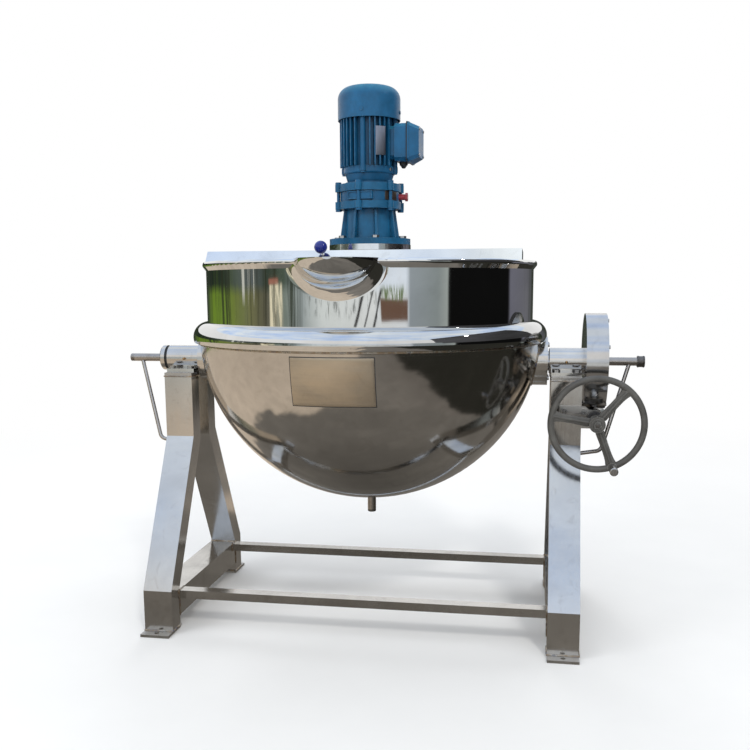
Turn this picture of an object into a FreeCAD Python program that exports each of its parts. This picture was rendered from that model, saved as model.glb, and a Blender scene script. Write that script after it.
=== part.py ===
import FreeCAD, Part
import math
import os

# Tilting steam jacketed kettle with a stirrer drive on its bridge.
# Millimetres. X runs along the trunnions, -Y is the pouring side, +Z is up.
# The origin lies on the floor, midway between the four anchor holes.

V = FreeCAD.Vector
ORIGIN = V(0, 0, 0)
X_DIR = V(1, 0, 0)
Y_DIR = V(0, 1, 0)
Z_DIR = V(0, 0, 1)

# Clearances
running_gap = 0.05
seat_gap = 0.3
moving_gap = 3.0

# Inner pot
pot_bore_radius = 500.0
pot_wall = 3.0
pot_bowl_centre_z = 925.0
rim_top_z = 1120.0
rim_height = 25.0
rim_flare = 10.0
rim_roll_height = 14.0
rim_neck_setback = 1.5
rim_crown_setback = 4.0

# Steam jacket
steam_space = 27.0
jacket_wall = 4.0
jacket_drop = 10.0
jacket_seam_drop = 31.0
shoulder_arc_radius = 45.0
shoulder_inset = 1.0
shoulder_drop = 27.0
shoulder_lower_angle = -20.0

# Pouring spout
spout_wall = 3.0
# Each station: distance out from the pot's bore, half width and depth below the rim
spout_stations = (
    (-18.0, 115.0, 93.0),
    (30.0, 98.0, 66.0),
    (65.0, 72.0, 40.0),
    (90.0, 38.0, 16.0),
    (100.0, 12.0, 6.0),
)

# Drain
drain_radius = 13.5
drain_bore_radius = 9.0
drain_length = 52.0
drain_plug_length = 22.0
drain_plug_head = 8.0
drain_plug_chamfer = 2.0

# Trunnions
trunnion_axis_z = 819.0
trunnion_radius = 30.0
trunnion_bore_radius = 15.0
trunnion_embed = 45.0
boss_radius = 74.0
boss_stand_out = 20.0
boss_screw_pitch_radius = 58.0
boss_screw_radius = 6.0
boss_screw_head = 5.0
boss_screw_count = 6

# Legs, bent from rectangular tube
leg_gap = 11.0
leg_width = 90.0
leg_depth = 60.0
leg_wall = 4.0
leg_top_front_y = -99.0
leg_foot_front_y = -324.0
leg_top_z = 768.0
leg_upper_bend_z = 575.0
leg_lower_bend_z = 134.0

# Foot plates and anchor holes
foot_plate_thickness = 8.0
foot_plate_toe = 36.0
anchor_hole_radius = 7.0

# Base beams and rails
base_top_z = 120.0
base_beam_height = 80.0
rail_height = 25.0
rail_depth = 38.0
rail_wall = 3.0
rail_outer_y = 268.0

# Bearings on top of the legs
bearing_plate_thickness = 10.0
bearing_radius = 40.0
bearing_bore_radius = 33.0
bearing_overhang = 5.0
bearing_left_length = 111.0
bearing_foot_thickness = 12.0
bearing_foot_half_length = 78.0
bearing_saddle_half_length = 34.0
bearing_bolt_radius = 6.0
bearing_bolt_inset = 15.0
bolt_head_ratio = 0.65
nipple_radius = 4.0
nipple_height = 6.0

# Rotary gland, pipes and their stays
gland_packing_radius = 36.0
gland_packing_width = 9.0
gland_cap_width = 16.0
gland_cap_chamfer = 3.0
pipe_radius = 12.5
pipe_bore_radius = 10.0
condensate_pipe_reach = 244.0
condensate_thread_length = 14.0
thread_depth = 0.6
union_reach = 277.0
pipe_inside_length = 26.0
union_radius = 16.5
union_length = 22.0
union_socket_radius = 13.5
union_socket_depth = 16.0
stay_radius = 6.0
stay_bend_radius = 22.0
stay_drop = 10.0
stay_left_pipe_reach = 207.0
stay_left_bend_reach = 123.0
stay_left_bend_z = 564.0
stay_right_pipe_reach = 234.0
stay_right_bend_reach = 151.0
stay_right_bend_z = 556.0

# Worm gear
gear_module = 6.3
wheel_teeth = 42
worm_pitch_radius = 31.5
tooth_addendum = 6.0
tooth_dedendum = 7.5
tooth_thinning = 0.5
pressure_angle = 20.0
wheel_from_casing = 31.0
wheel_face = 44.0
wheel_hub_radius = 50.0
wheel_hub_width = 50.0
wheel_rim_thickness = 16.0
wheel_web = 16.0
wheel_hole_count = 6
wheel_hole_radius = 18.0
key_width = 14.0
key_height = 9.0
worm_turns = 4
thread_embed = 1.0
worm_shaft_radius = 14.0
worm_shaft_back_y = 108.0

# Worm gear casing
casing_radius = 145.0
casing_wall = 3.0
casing_gap = 8.0
casing_width = 63.0
casing_mouth_half = 48.0
casing_screw_count = 8
casing_screw_radius = 3.0
casing_flange_width = 14.0
casing_flange_thickness = 4.0
casing_edge_break = 2.0
cover_hub_radius = 43.0
cover_hub_width = 8.0

# Worm bearings
worm_bearing_radius = 28.0
worm_bearing_length = 30.0
worm_bush_wall = 4.0
strap_thickness = 8.0
strap_inner_reach = 26.0
strap_outer_reach = 111.0
strap_low_z = 664.0
strap_high_z = 694.0
strap_chamfer = 10.0
strap_bolt_radius = 5.0
strap_bolt_inset = 15.0
strap_bolt_depth = 20.0

# Handwheel
handwheel_radius = 140.0
handwheel_rim_radius = 9.5
handwheel_rim_y = -197.0
handwheel_hub_radius = 23.0
handwheel_hub_front_y = -212.0
handwheel_hub_back_y = -165.0
handwheel_spokes = 3
handle_angle = -70.0
spoke_hub_width = 26.0
spoke_rim_width = 19.0
spoke_thickness = 12.0
handle_boss_radius = 13.0
handle_boss_half_length = 11.5
handle_pin_radius = 5.0
handle_pin_head_radius = 9.0
handle_pin_head = 3.0
handle_length = 62.0
handle_end_radius = 12.0
handle_waist_radius = 9.5
handle_bulge = 0.8
handle_end_round = 3.0

# Bridge across the pot
bridge_end_setback = 31.0
bridge_top_half_width = 162.0
bridge_foot_half_width = 186.0
bridge_height = 33.0
bridge_wall = 4.0
ledge_reach = 60.0
ledge_half_width = 120.0
ledge_thickness = 8.0
knob_x = -112.0
knob_radius = 19.0
knob_stud_radius = 5.0
knob_stand_off = 9.0
knob_from_edge = 10.5

# Stirrer drive
disc_radius = 126.0
disc_thickness = 20.0
flange_radius = 125.0
flange_thickness = 18.0
flange_bolt_pitch_radius = 107.0
flange_bolt_radius = 6.0
flange_bolt_count = 6
flange_bolt_start = -71.0
housing_foot_radius = 77.5
housing_head_radius = 72.5
housing_height = 89.0
housing_rib_count = 8
housing_rib_width = 7.0
housing_rib_reach = 16.0
ring_flange_radius = 96.0
ring_flange_thickness = 22.0
ring_body_radius = 91.0
ring_body_height = 30.0
lug_radius = 10.0
lug_pitch_radius = 97.0
lug_count = 6
lug_start = -40.0
housing_bolt_radius = 5.0
pad_angle = -98.0
pad_width = 76.0
pad_height = 23.0
pad_depth = 6.0
pad_border = 3.0
pad_recess = 2.0
oil_plug_radius = 9.0
oil_plug_reach = 118.0
oil_plug_angle = 2.0
oil_plug_depth = 12.0
oil_plug_head = 8.0
oil_plug_hexagon = 0.75

# Motor
motor_turn = -94.0
end_shield_height = 51.0
end_shield_neck_radius = 67.0
end_shield_shoulder_radius = 79.0
end_shield_rim_height = 16.0
end_shield_round = 5.0
end_shield_foot_width = 8.0
end_shield_foot_height = 6.0
frame_height = 142.0
frame_core_radius = 74.0
frame_bore_radius = 41.0
fin_radius = 90.0
fin_count = 36
fin_thickness = 3.6
frame_lug_half_angle = 8.0
frame_pad_half_angle = 26.0
frame_lug_count = 4
frame_bolt_radius = 4.0
frame_bolt_pitch_radius = 79.5
frame_lug_radius = 9.0
frame_strip_radius = 8.0
spot_face_radius = 8.2
spot_face_depth = 6.0
rear_shield_thickness = 10.0
rear_shield_radius = 84.0
rear_lug_width = 16.0
rear_lug_height = 14.0
fan_cover_radius = 95.0
fan_cover_height = 97.0
fan_cover_overlap = 4.0
fan_cover_wall = 2.0
fan_cover_corner = 36.0
fan_slot_count = 16
fan_slot_inner = 22.0
fan_slot_outer = 56.0
fan_slot_width = 5.0
cover_screw_head_radius = 5.0
cover_screw_head = 2.8
terminal_rise = 68.0
terminal_base_x = 88.0
terminal_joint_x = 126.0
terminal_face_x = 161.0
terminal_half_height = 58.0
terminal_half_width = 52.0
terminal_face_inset = 14.0
terminal_wall = 4.0
terminal_corner = 10.0
terminal_pad_inset = 10.0
terminal_base_inset = 4.0
terminal_rim = 6.0
terminal_step = 2.0
gland_radius = 11.0
gland_thread_radius = 9.0
gland_hexagon = 0.6
gland_length = 18.0

# Stirrer
stirrer_shaft_radius = 22.0
stirrer_shaft_reach = 77.0
stirrer_clearance = 32.0
stirrer_bar_width = 36.0
stirrer_bar_thickness = 10.0
stirrer_frame_drop = 60.0
stirrer_hub_radius = 38.0
stirrer_hub_height = 60.0
stirrer_cross_bar_rise = 5.0
scraper_gap = 6.0
scraper_thickness = 8.0
scraper_length = 90.0
scraper_overlap = 24.0
scraper_angles = (-72.0, -46.0, -20.0)

# Rotor and cooling fan
rotor_radius = 40.0
rotor_length = 100.0
rotor_shaft_radius = 11.0
fan_radius = 74.0
fan_hub_radius = 20.0
fan_blade_count = 7
fan_blade_thickness = 2.5
fan_blade_height = 26.0
fan_stand_off = 28.0
fan_hub_length = 22.0
fan_plate_thickness = 3.0

# Worked-out places
pot_outer_radius = pot_bore_radius + pot_wall
rim_base_z = rim_top_z - rim_height
leg_mid_y = leg_top_front_y + leg_depth / 2
leg_splay = math.atan2(leg_top_front_y - leg_foot_front_y, leg_upper_bend_z - leg_lower_bend_z)
leg_mitre_drop = leg_depth * math.tan(leg_splay / 2)
anchor_y = leg_foot_front_y - foot_plate_toe / 2
bearing_foot_z = leg_top_z + bearing_plate_thickness
bearing_foot_top_z = bearing_foot_z + bearing_foot_thickness
wheel_pitch_radius = gear_module * wheel_teeth / 2
wheel_root_radius = wheel_pitch_radius - tooth_dedendum
worm_axis_z = trunnion_axis_z - wheel_pitch_radius - worm_pitch_radius
worm_pitch = math.pi * gear_module
worm_lead_slope = worm_pitch / (2 * math.pi * worm_pitch_radius)
handle_start_y = handwheel_rim_y - handle_boss_half_length - seat_gap
jacket_radius = pot_outer_radius + steam_space
jacket_centre_z = pot_bowl_centre_z - jacket_drop
jacket_top_z = jacket_centre_z - jacket_seam_drop
shoulder_centre_z = pot_bowl_centre_z - shoulder_drop
drain_bottom_z = jacket_centre_z - jacket_radius - drain_length
boss_face_x = jacket_radius + boss_stand_out
trunnion_inner_x = boss_face_x - trunnion_embed
leg_inner_x = boss_face_x + leg_gap
leg_outer_x = leg_inner_x + leg_width
leg_centre_x = leg_inner_x + leg_width / 2
bearing_inner_x = leg_inner_x - bearing_overhang
bearing_left_end_x = bearing_inner_x + bearing_left_length
gland_cap_inner_x = bearing_left_end_x + gland_packing_width
gland_cap_outer_x = gland_cap_inner_x + gland_cap_width
trunnion_left_end_x = bearing_left_end_x - moving_gap
condensate_pipe_end_x = leg_inner_x + condensate_pipe_reach
union_end_x = leg_inner_x + union_reach
stay_left_pipe_x = leg_inner_x + stay_left_pipe_reach
stay_left_bend_x = leg_inner_x + stay_left_bend_reach
stay_right_pipe_x = leg_inner_x + stay_right_pipe_reach
stay_right_bend_x = leg_inner_x + stay_right_bend_reach
casing_inner_x = leg_outer_x + casing_gap
casing_outer_x = casing_inner_x + casing_width
trunnion_right_end_x = casing_outer_x - casing_wall - moving_gap
cover_hub_outer_x = casing_outer_x + cover_hub_width
wheel_centre_x = casing_inner_x + wheel_from_casing
strap_inner_x = leg_inner_x + strap_inner_reach
strap_outer_x = leg_inner_x + strap_outer_reach
bridge_half_length = pot_bore_radius - bridge_end_setback
bridge_top_z = rim_top_z + bridge_height
disc_top_z = bridge_top_z + disc_thickness
flange_top_z = disc_top_z + flange_thickness
housing_top_z = flange_top_z + housing_height
ring_low_z = housing_top_z + ring_flange_thickness
ring_high_z = ring_low_z + ring_body_height
input_flange_top_z = ring_high_z + ring_flange_thickness
rotor_shaft_low_z = ring_high_z + 2 * moving_gap
frame_low_z = input_flange_top_z + end_shield_height
shield_rim_low_z = frame_low_z - end_shield_rim_height
frame_top_z = frame_low_z + frame_height
fan_low_z = frame_top_z + fan_stand_off
fan_cover_low_z = frame_top_z - fan_cover_overlap
fan_cover_top_z = fan_cover_low_z + fan_cover_height
bridge_slope = math.atan2(bridge_top_z - rim_top_z, bridge_foot_half_width - bridge_top_half_width)
ledge_inner_x = pot_bore_radius - ledge_reach
terminal_centre_z = frame_low_z + terminal_rise
gland_face_z = terminal_centre_z - terminal_half_height + terminal_base_inset
stirrer_shaft_top_z = flange_top_z + stirrer_shaft_reach
stirrer_frame_radius = pot_bore_radius - stirrer_clearance
stirrer_foot_z = pot_bowl_centre_z - stirrer_frame_radius
stirrer_frame_top_z = rim_top_z - stirrer_frame_drop
stirrer_cross_bar_z = pot_bowl_centre_z + stirrer_cross_bar_rise


def on_trunnion_axis(x):
    return V(x, 0, trunnion_axis_z)


def on_worm_axis(y):
    return V(wheel_centre_x, y, worm_axis_z)


def box(low, high):
    """Block between two opposite corners."""
    size = high - low
    return Part.makeBox(size.x, size.y, size.z, low)


def rod(radius, start, end):
    """Round bar from one point to another."""
    axis = end - start
    return Part.makeCylinder(radius, axis.Length, start, axis)


def tube(outer, inner, start, end):
    """Round tube from one point to another."""
    return rod(outer, start, end).cut(rod(inner, start, end))


def fuse_all(shapes):
    """One solid from pieces that touch or cross."""
    return shapes[0].multiFuse(shapes[1:]).removeSplitter()


def group(shapes):
    """Separate solids kept in one node."""
    return Part.makeCompound(shapes)


def mirrored(shape):
    """The same piece on the other trunnion side."""
    return shape.mirror(ORIGIN, X_DIR)


def polar(radius, angle, z):
    """Point on a circle about the pot's axis, angle in degrees."""
    turn = math.radians(angle)
    return V(radius * math.cos(turn), radius * math.sin(turn), z)


def line(start, end):
    return Part.LineSegment(start, end).toShape()


def arc(start, middle, end):
    return Part.Arc(start, middle, end).toShape()


def revolved(edges):
    """Solid of revolution about the pot's axis from a closed XZ outline."""
    face = Part.Face(Part.Wire(edges))
    return face.revolve(ORIGIN, Z_DIR, 360)


def prism(points, direction):
    """Straight extrusion of a closed outline."""
    return Part.Face(Part.makePolygon(points + [points[0]])).extrude(direction)


def hexagon(radius, start, direction):
    """Hexagonal head or nut of a bolt, twice its shank radius across the corners and a little more."""
    corner = radius * 1.9
    frame = FreeCAD.Rotation(Z_DIR, direction)
    points = []
    for side in range(6):
        turn = math.radians(60 * side)
        points.append(start + frame.multVec(V(corner * math.cos(turn), corner * math.sin(turn), 0)))
    return prism(points, direction)


def bolt(radius, head_seat, direction, length):
    """Hexagon bolt: the head stands on its seat, the shank runs against direction."""
    way = V(direction).normalize()
    head = hexagon(radius, head_seat, way * (radius * 2 * bolt_head_ratio))
    return head.fuse(rod(radius, head_seat, head_seat - way * length))


def bolt_and_nut(radius, head_seat, direction, grip):
    """Hexagon bolt with its nut below the clamped plates."""
    way = V(direction).normalize()
    nut_height = radius * 2 * bolt_head_ratio
    nut = hexagon(radius, head_seat - way * grip, way * -nut_height)
    return bolt(radius, head_seat, direction, grip + nut_height).fuse(nut)


# Stand

def leg_outline(inset):
    """Side view of the bent front leg in the YZ plane, inset for the tube's bore."""
    front_low = leg_foot_front_y + inset
    back_low = leg_foot_front_y + leg_depth - inset
    front_top = leg_top_front_y + inset
    back_top = leg_top_front_y + leg_depth - inset
    bend_slope = math.tan(leg_splay / 2)
    front_drop = inset * bend_slope
    back_drop = leg_mitre_drop - front_drop
    low = foot_plate_thickness
    return [
        (front_low, low),
        (front_low, leg_lower_bend_z - front_drop),
        (front_top, leg_upper_bend_z - front_drop),
        (front_top, leg_top_z),
        (back_top, leg_top_z),
        (back_top, leg_upper_bend_z - back_drop),
        (back_low, leg_lower_bend_z - back_drop),
        (back_low, low),
    ]


def make_front_leg():
    """Right front leg: upright, splay and stub mitred from one rectangular tube."""
    outside = prism([V(leg_inner_x, y, z) for y, z in leg_outline(0)], V(leg_width, 0, 0))
    bore_points = [V(leg_inner_x + leg_wall, y, z) for y, z in leg_outline(leg_wall)]
    bore = prism(bore_points, V(leg_width - 2 * leg_wall, 0, 0))
    return outside.cut(bore)


def make_foot_plates():
    """Four anchor plates, each with one hole in its toe."""
    plate = box(
        V(leg_inner_x, leg_foot_front_y - foot_plate_toe, 0),
        V(leg_outer_x, leg_foot_front_y + leg_depth, foot_plate_thickness),
    )
    hole_top = V(leg_centre_x, anchor_y, foot_plate_thickness + 1)
    front = plate.cut(rod(anchor_hole_radius, V(leg_centre_x, anchor_y, -1), hole_top))
    back = front.mirror(ORIGIN, Y_DIR)
    return group([front, back, mirrored(front), mirrored(back)])


def hollow_bar(low, high, wall, along):
    """Rectangular tube with open ends, running along X or Y."""
    shrink = V(0 if along == "X" else wall, 0 if along == "Y" else wall, wall)
    return box(low, high).cut(box(low + shrink, high - shrink))


def make_base_beams():
    """Tubes from the front stub to the rear stub on both sides."""
    half = -(leg_foot_front_y + leg_depth)
    low = V(leg_inner_x, -half, base_top_z - base_beam_height)
    high = V(leg_outer_x, half, base_top_z)
    right = hollow_bar(low, high, leg_wall, "Y")
    return group([right, mirrored(right)])


def make_rails():
    """Flat tubes that tie the left side to the right side."""
    low = V(-leg_inner_x, -rail_outer_y, base_top_z - rail_height)
    high = V(leg_inner_x, -rail_outer_y + rail_depth, base_top_z)
    front = hollow_bar(low, high, rail_wall, "X")
    return group([front, front.mirror(ORIGIN, Y_DIR)])


def bearing_bolt_places():
    """Places of the two front and two rear bolts of the right bearing."""
    inset = bearing_bolt_inset
    places = []
    for x in (leg_inner_x + inset, leg_outer_x - inset):
        for y in (-bearing_foot_half_length + inset, bearing_foot_half_length - inset):
            places.append(V(x, y, bearing_foot_top_z))
    return places


def drill_bearing(shape):
    """Holes of the bearing bolts through housing foot and plate."""
    depth = V(0, 0, bearing_foot_thickness + bearing_plate_thickness)
    for place in bearing_bolt_places():
        shape = shape.cut(rod(bearing_bolt_radius, place - depth, place))
    return shape


def make_bearing_plates():
    """Plates that close the leg tops and bridge front and rear leg."""
    plate = box(V(leg_inner_x, leg_top_front_y, leg_top_z), V(leg_outer_x, -leg_top_front_y, bearing_foot_z))
    return group([drill_bearing(plate), mirrored(drill_bearing(plate))])


def make_bearing_housing(end_x):
    """Bearing barrel on its saddle and bolted foot, built on the right side."""
    foot = box(
        V(leg_inner_x, -bearing_foot_half_length, bearing_foot_z),
        V(leg_outer_x, bearing_foot_half_length, bearing_foot_top_z),
    )
    saddle = box(
        V(leg_inner_x, -bearing_saddle_half_length, bearing_foot_z),
        V(leg_outer_x, bearing_saddle_half_length, trunnion_axis_z),
    )
    start = on_trunnion_axis(bearing_inner_x)
    end = on_trunnion_axis(end_x)
    body = fuse_all([foot, saddle, rod(bearing_radius, start, end)])
    return drill_bearing(body.cut(rod(bearing_bore_radius, start, end)))


def make_bronze_bushes():
    """Bushes of both trunnion bearings and both worm bearings."""
    inner = trunnion_radius + running_gap
    start = on_trunnion_axis(bearing_inner_x)
    right = tube(bearing_bore_radius, inner, start, on_trunnion_axis(casing_inner_x))
    left = mirrored(tube(bearing_bore_radius, inner, start, on_trunnion_axis(bearing_left_end_x)))
    worm = []
    for centre_y in worm_bearing_centres():
        half = V(0, worm_bearing_length / 2, 0)
        centre = on_worm_axis(centre_y)
        outer = worm_shaft_radius + worm_bush_wall
        worm.append(tube(outer, worm_shaft_radius + running_gap, centre - half, centre + half))
    return group([left, right] + worm)


def make_grease_nipples():
    """One nipple on the front of each bearing barrel."""
    start = V(leg_centre_x, -bearing_radius, trunnion_axis_z)
    nipple = rod(nipple_radius, start + V(0, nipple_radius, 0), start - V(0, nipple_height, 0))
    tip = Part.makeSphere(nipple_radius, start - V(0, nipple_height, 0))
    body = nipple.fuse(tip)
    right = body.cut(rod(bearing_radius, on_trunnion_axis(bearing_inner_x), on_trunnion_axis(casing_inner_x)))
    return group([right, mirrored(right)])


def make_gland_packing():
    """Soft packing ring squeezed between left barrel and gland cap."""
    start = on_trunnion_axis(-gland_cap_inner_x)
    return tube(gland_packing_radius, pipe_radius, start, on_trunnion_axis(-bearing_left_end_x))


def make_gland_cap():
    """Left end cap that holds the condensate pipe still."""
    start = on_trunnion_axis(-gland_cap_outer_x)
    cap = tube(bearing_radius, pipe_radius, start, on_trunnion_axis(-gland_cap_inner_x))
    outer_edges = [edge for edge in cap.Edges if edge.BoundBox.XMax < 0.01 - gland_cap_outer_x]
    rim_edges = [edge for edge in outer_edges if edge.BoundBox.YLength > bearing_radius]
    return cap.makeChamfer(gland_cap_chamfer, rim_edges)


def make_condensate_pipe():
    """Left pipe with its threaded end."""
    end = condensate_pipe_end_x
    thread_x = end - condensate_thread_length
    inner_x = trunnion_left_end_x - pipe_inside_length
    body = rod(pipe_radius, on_trunnion_axis(-thread_x), on_trunnion_axis(-inner_x))
    thread = rod(pipe_radius - thread_depth, on_trunnion_axis(-end), on_trunnion_axis(-thread_x))
    return body.fuse(thread).cut(rod(pipe_bore_radius, on_trunnion_axis(-end), on_trunnion_axis(-inner_x)))


def make_steam_pipe():
    """Right pipe that brings steam through the casing cover into the trunnion."""
    inner_x = trunnion_right_end_x - pipe_inside_length
    end_x = union_end_x - union_socket_depth
    return tube(pipe_radius, pipe_bore_radius, on_trunnion_axis(inner_x), on_trunnion_axis(end_x))


def make_steam_union():
    """Round union on the end of the steam pipe, with an open socket."""
    start = on_trunnion_axis(union_end_x - union_length)
    end = on_trunnion_axis(union_end_x)
    socket = rod(union_socket_radius, on_trunnion_axis(union_end_x - union_socket_depth), end)
    return tube(union_radius, pipe_radius, start, end).cut(socket)


def bent_rod(radius, start, corner, end, bend):
    """Round bar with one bend between two straight stretches."""
    first = (start - corner).normalize()
    second = (end - corner).normalize()
    half_angle = first.getAngle(second) / 2
    tangent = bend / math.tan(half_angle)
    middle_way = (first + second).normalize()
    centre = corner + middle_way * (bend / math.sin(half_angle))
    arc_middle = centre - middle_way * bend
    arc_start = corner + first * tangent
    arc_end = corner + second * tangent
    spine = Part.Wire([line(start, arc_start), arc(arc_start, arc_middle, arc_end), line(arc_end, end)])
    section = Part.Wire([Part.makeCircle(radius, start, corner - start)])
    return spine.makePipeShell([section], True, True)


def make_stay(pipe_x, bend_x, bend_z):
    """Stay that keeps the pipe from turning, welded to pipe and front leg, built on the right side."""
    start = on_trunnion_axis(pipe_x)
    corner = V(bend_x, leg_mid_y, bend_z)
    end = V(leg_outer_x - leg_wall / 2, leg_mid_y, bend_z - stay_drop)
    stay = bent_rod(stay_radius, start, corner, end, stay_bend_radius)
    along = V(stay_bend_radius, 0, 0)
    leg_face = box(
        V(leg_outer_x - leg_wall, leg_top_front_y, leg_upper_bend_z - leg_depth),
        V(leg_outer_x, leg_top_front_y + leg_depth, leg_top_z),
    )
    return stay.cut(rod(pipe_radius, start - along, start + along)).cut(leg_face)


def casing_screw_places():
    """Places of the cover screws on the casing rim, clear of its mouth."""
    radius = casing_radius - casing_wall - casing_flange_width / 2
    places = []
    for index in range(casing_screw_count):
        turn = math.radians(-90 + 360 / casing_screw_count * (index + 0.5))
        places.append(V(casing_outer_x, radius * math.cos(turn), trunnion_axis_z + radius * math.sin(turn)))
    return places


def casing_mouth():
    """Space at the casing's foot through which the worm reaches the wheel."""
    return box(
        V(casing_inner_x, -casing_mouth_half, trunnion_axis_z - casing_radius),
        V(casing_outer_x, casing_mouth_half, worm_axis_z + worm_pitch_radius + 2 * gear_module),
    )


def drill_casing(shape):
    """Holes of the cover screws in the drum's flange or in the cover."""
    depth = V(casing_wall + casing_flange_thickness, 0, 0)
    for place in casing_screw_places():
        shape = shape.cut(rod(casing_screw_radius, place - depth, place))
    return shape


def make_worm_casing():
    """Drum round the worm wheel, closed on the leg side and open at its foot."""
    inner_face = on_trunnion_axis(casing_inner_x)
    joint = on_trunnion_axis(casing_outer_x - casing_wall)
    drum = rod(casing_radius, inner_face, joint)
    flange_back = joint - V(casing_flange_thickness, 0, 0)
    drum = drum.cut(rod(casing_radius - casing_wall, inner_face + V(casing_wall, 0, 0), flange_back))
    opening = casing_radius - casing_wall - casing_flange_width
    drum = drum.cut(rod(opening, flange_back, joint))
    drum = drum.cut(rod(trunnion_radius + seat_gap, inner_face, joint))
    return drill_casing(drum.cut(casing_mouth()))


def make_casing_cover():
    """Screwed cover with the hub that carries the steam pipe."""
    joint = on_trunnion_axis(casing_outer_x - casing_wall)
    face = on_trunnion_axis(casing_outer_x)
    plate = rod(casing_radius, joint, face)
    hub = rod(cover_hub_radius, face, on_trunnion_axis(cover_hub_outer_x))
    hub_edges = [edge for edge in hub.Edges if edge.BoundBox.XMin > cover_hub_outer_x - 0.01]
    hub = hub.makeChamfer(casing_edge_break, hub_edges)
    cover = plate.fuse(hub).cut(casing_mouth())
    return drill_casing(cover.cut(rod(pipe_radius, joint, on_trunnion_axis(cover_hub_outer_x))))


def worm_bearing_centres():
    """Middle of the front and of the rear worm bearing along Y."""
    front = leg_top_front_y + worm_bearing_length / 2
    return (front, -front)


def make_worm_brackets():
    """Two bearing blocks on the outer faces of the right legs."""
    blocks = []
    radius = worm_bearing_radius
    for centre_y in worm_bearing_centres():
        half = worm_bearing_length / 2
        start = on_worm_axis(centre_y - half)
        end = on_worm_axis(centre_y + half)
        arm = box(
            V(leg_outer_x, centre_y - half, worm_axis_z - radius),
            V(wheel_centre_x, centre_y + half, worm_axis_z + radius),
        )
        bore = rod(worm_shaft_radius + worm_bush_wall, start, end)
        blocks.append(strap_bolt_holes(arm.fuse(rod(radius, start, end)).cut(bore)))
    return group(blocks)


def strap_bolt_places():
    """Bolts of the strap: one into the leg, one into the front bearing block."""
    middle_z = (strap_low_z + strap_high_z) / 2
    face_y = leg_top_front_y - strap_thickness
    inset = strap_bolt_inset
    return [V(x, face_y, middle_z) for x in (strap_inner_x + inset, strap_outer_x - inset)]


def strap_bolt_holes(shape):
    """Holes of the strap bolts in one of the pieces that they join."""
    for place in strap_bolt_places():
        shape = shape.cut(rod(strap_bolt_radius, place, place + V(0, strap_thickness + strap_bolt_depth, 0)))
    return shape


def make_worm_strap():
    """Flat strap over the front of the leg that steadies the front worm bearing."""
    front = leg_top_front_y - strap_thickness
    points = [
        V(strap_inner_x, front, strap_low_z),
        V(strap_outer_x, front, strap_low_z),
        V(strap_outer_x, front, strap_high_z - strap_chamfer),
        V(strap_outer_x - strap_chamfer, front, strap_high_z),
        V(strap_inner_x, front, strap_high_z),
    ]
    return strap_bolt_holes(prism(points, V(0, strap_thickness, 0)))


def make_stand_fasteners():
    """Bearing bolts, strap bolts and casing screws."""
    pieces = []
    reach = bearing_foot_thickness + bearing_plate_thickness
    for place in bearing_bolt_places():
        piece = bolt(bearing_bolt_radius, place, Z_DIR, reach)
        pieces += [piece, mirrored(piece)]
    for place in strap_bolt_places():
        pieces.append(bolt(strap_bolt_radius, place, -Y_DIR, strap_thickness + strap_bolt_depth))
    for place in casing_screw_places():
        pieces.append(bolt(casing_screw_radius, place, X_DIR, casing_wall + casing_flange_thickness))
    return group(pieces)


# Pot and jacket

def bowl_section(outer, inner, centre_z, top_z):
    """Bowl wall between two concentric spheres, cut level at top_z."""
    lift = top_z - centre_z
    turn_outer = math.asin(lift / outer)
    turn_inner = math.asin(lift / inner)

    def on(radius, turn):
        return V(radius * math.cos(turn), 0, centre_z + radius * math.sin(turn))

    bottom = -math.pi / 2
    edges = [
        arc(on(outer, bottom), on(outer, (bottom + turn_outer) / 2), on(outer, turn_outer)),
        line(on(outer, turn_outer), on(inner, turn_inner)),
        arc(on(inner, turn_inner), on(inner, (bottom + turn_inner) / 2), on(inner, bottom)),
        line(on(inner, bottom), on(outer, bottom)),
    ]
    return revolved(edges)


def rim_section():
    """Rolled rim: flared below, rounded at its edge, flat inside."""
    edge_radius = pot_outer_radius + rim_flare
    neck = V(edge_radius - rim_neck_setback, 0, rim_top_z - rim_roll_height)
    middle = V(edge_radius, 0, rim_top_z - rim_roll_height / 2)
    crown = V(edge_radius - rim_crown_setback, 0, rim_top_z)
    inner_low = V(pot_bore_radius, 0, rim_base_z)
    inner_high = V(pot_bore_radius, 0, rim_top_z)
    outer_low = V(pot_outer_radius, 0, rim_base_z)
    edges = [line(inner_low, outer_low), line(outer_low, neck), arc(neck, middle, crown)]
    edges += [line(crown, inner_high), line(inner_high, inner_low)]
    return revolved(edges)


def spout_section(y, half_width, depth, inset):
    """Closed lower half of an ellipse across the spout at y."""
    half = half_width - inset
    drop = depth - inset
    curve = Part.ArcOfEllipse(Part.Ellipse(ORIGIN, half, drop), math.pi, 2 * math.pi)
    section = Part.Wire([curve.toShape(), line(V(half, 0, 0), V(-half, 0, 0))])
    section.rotate(ORIGIN, X_DIR, 90)
    section.translate(V(0, y, rim_top_z))
    return section


def spout_body(inset):
    """Filled scoop of the spout, smaller by inset for its hollow."""
    sections = []
    for reach, half, depth in spout_stations:
        sections.append(spout_section(inset - pot_bore_radius - reach, half, depth, inset))
    return Part.makeLoft(sections, True, False)


def make_spout():
    """Pressed pouring lip, open on top and towards the pot."""
    shell = spout_body(0).cut(spout_body(spout_wall))
    return shell.cut(rod(pot_bore_radius, V(0, 0, pot_bowl_centre_z), V(0, 0, rim_top_z)))


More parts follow.
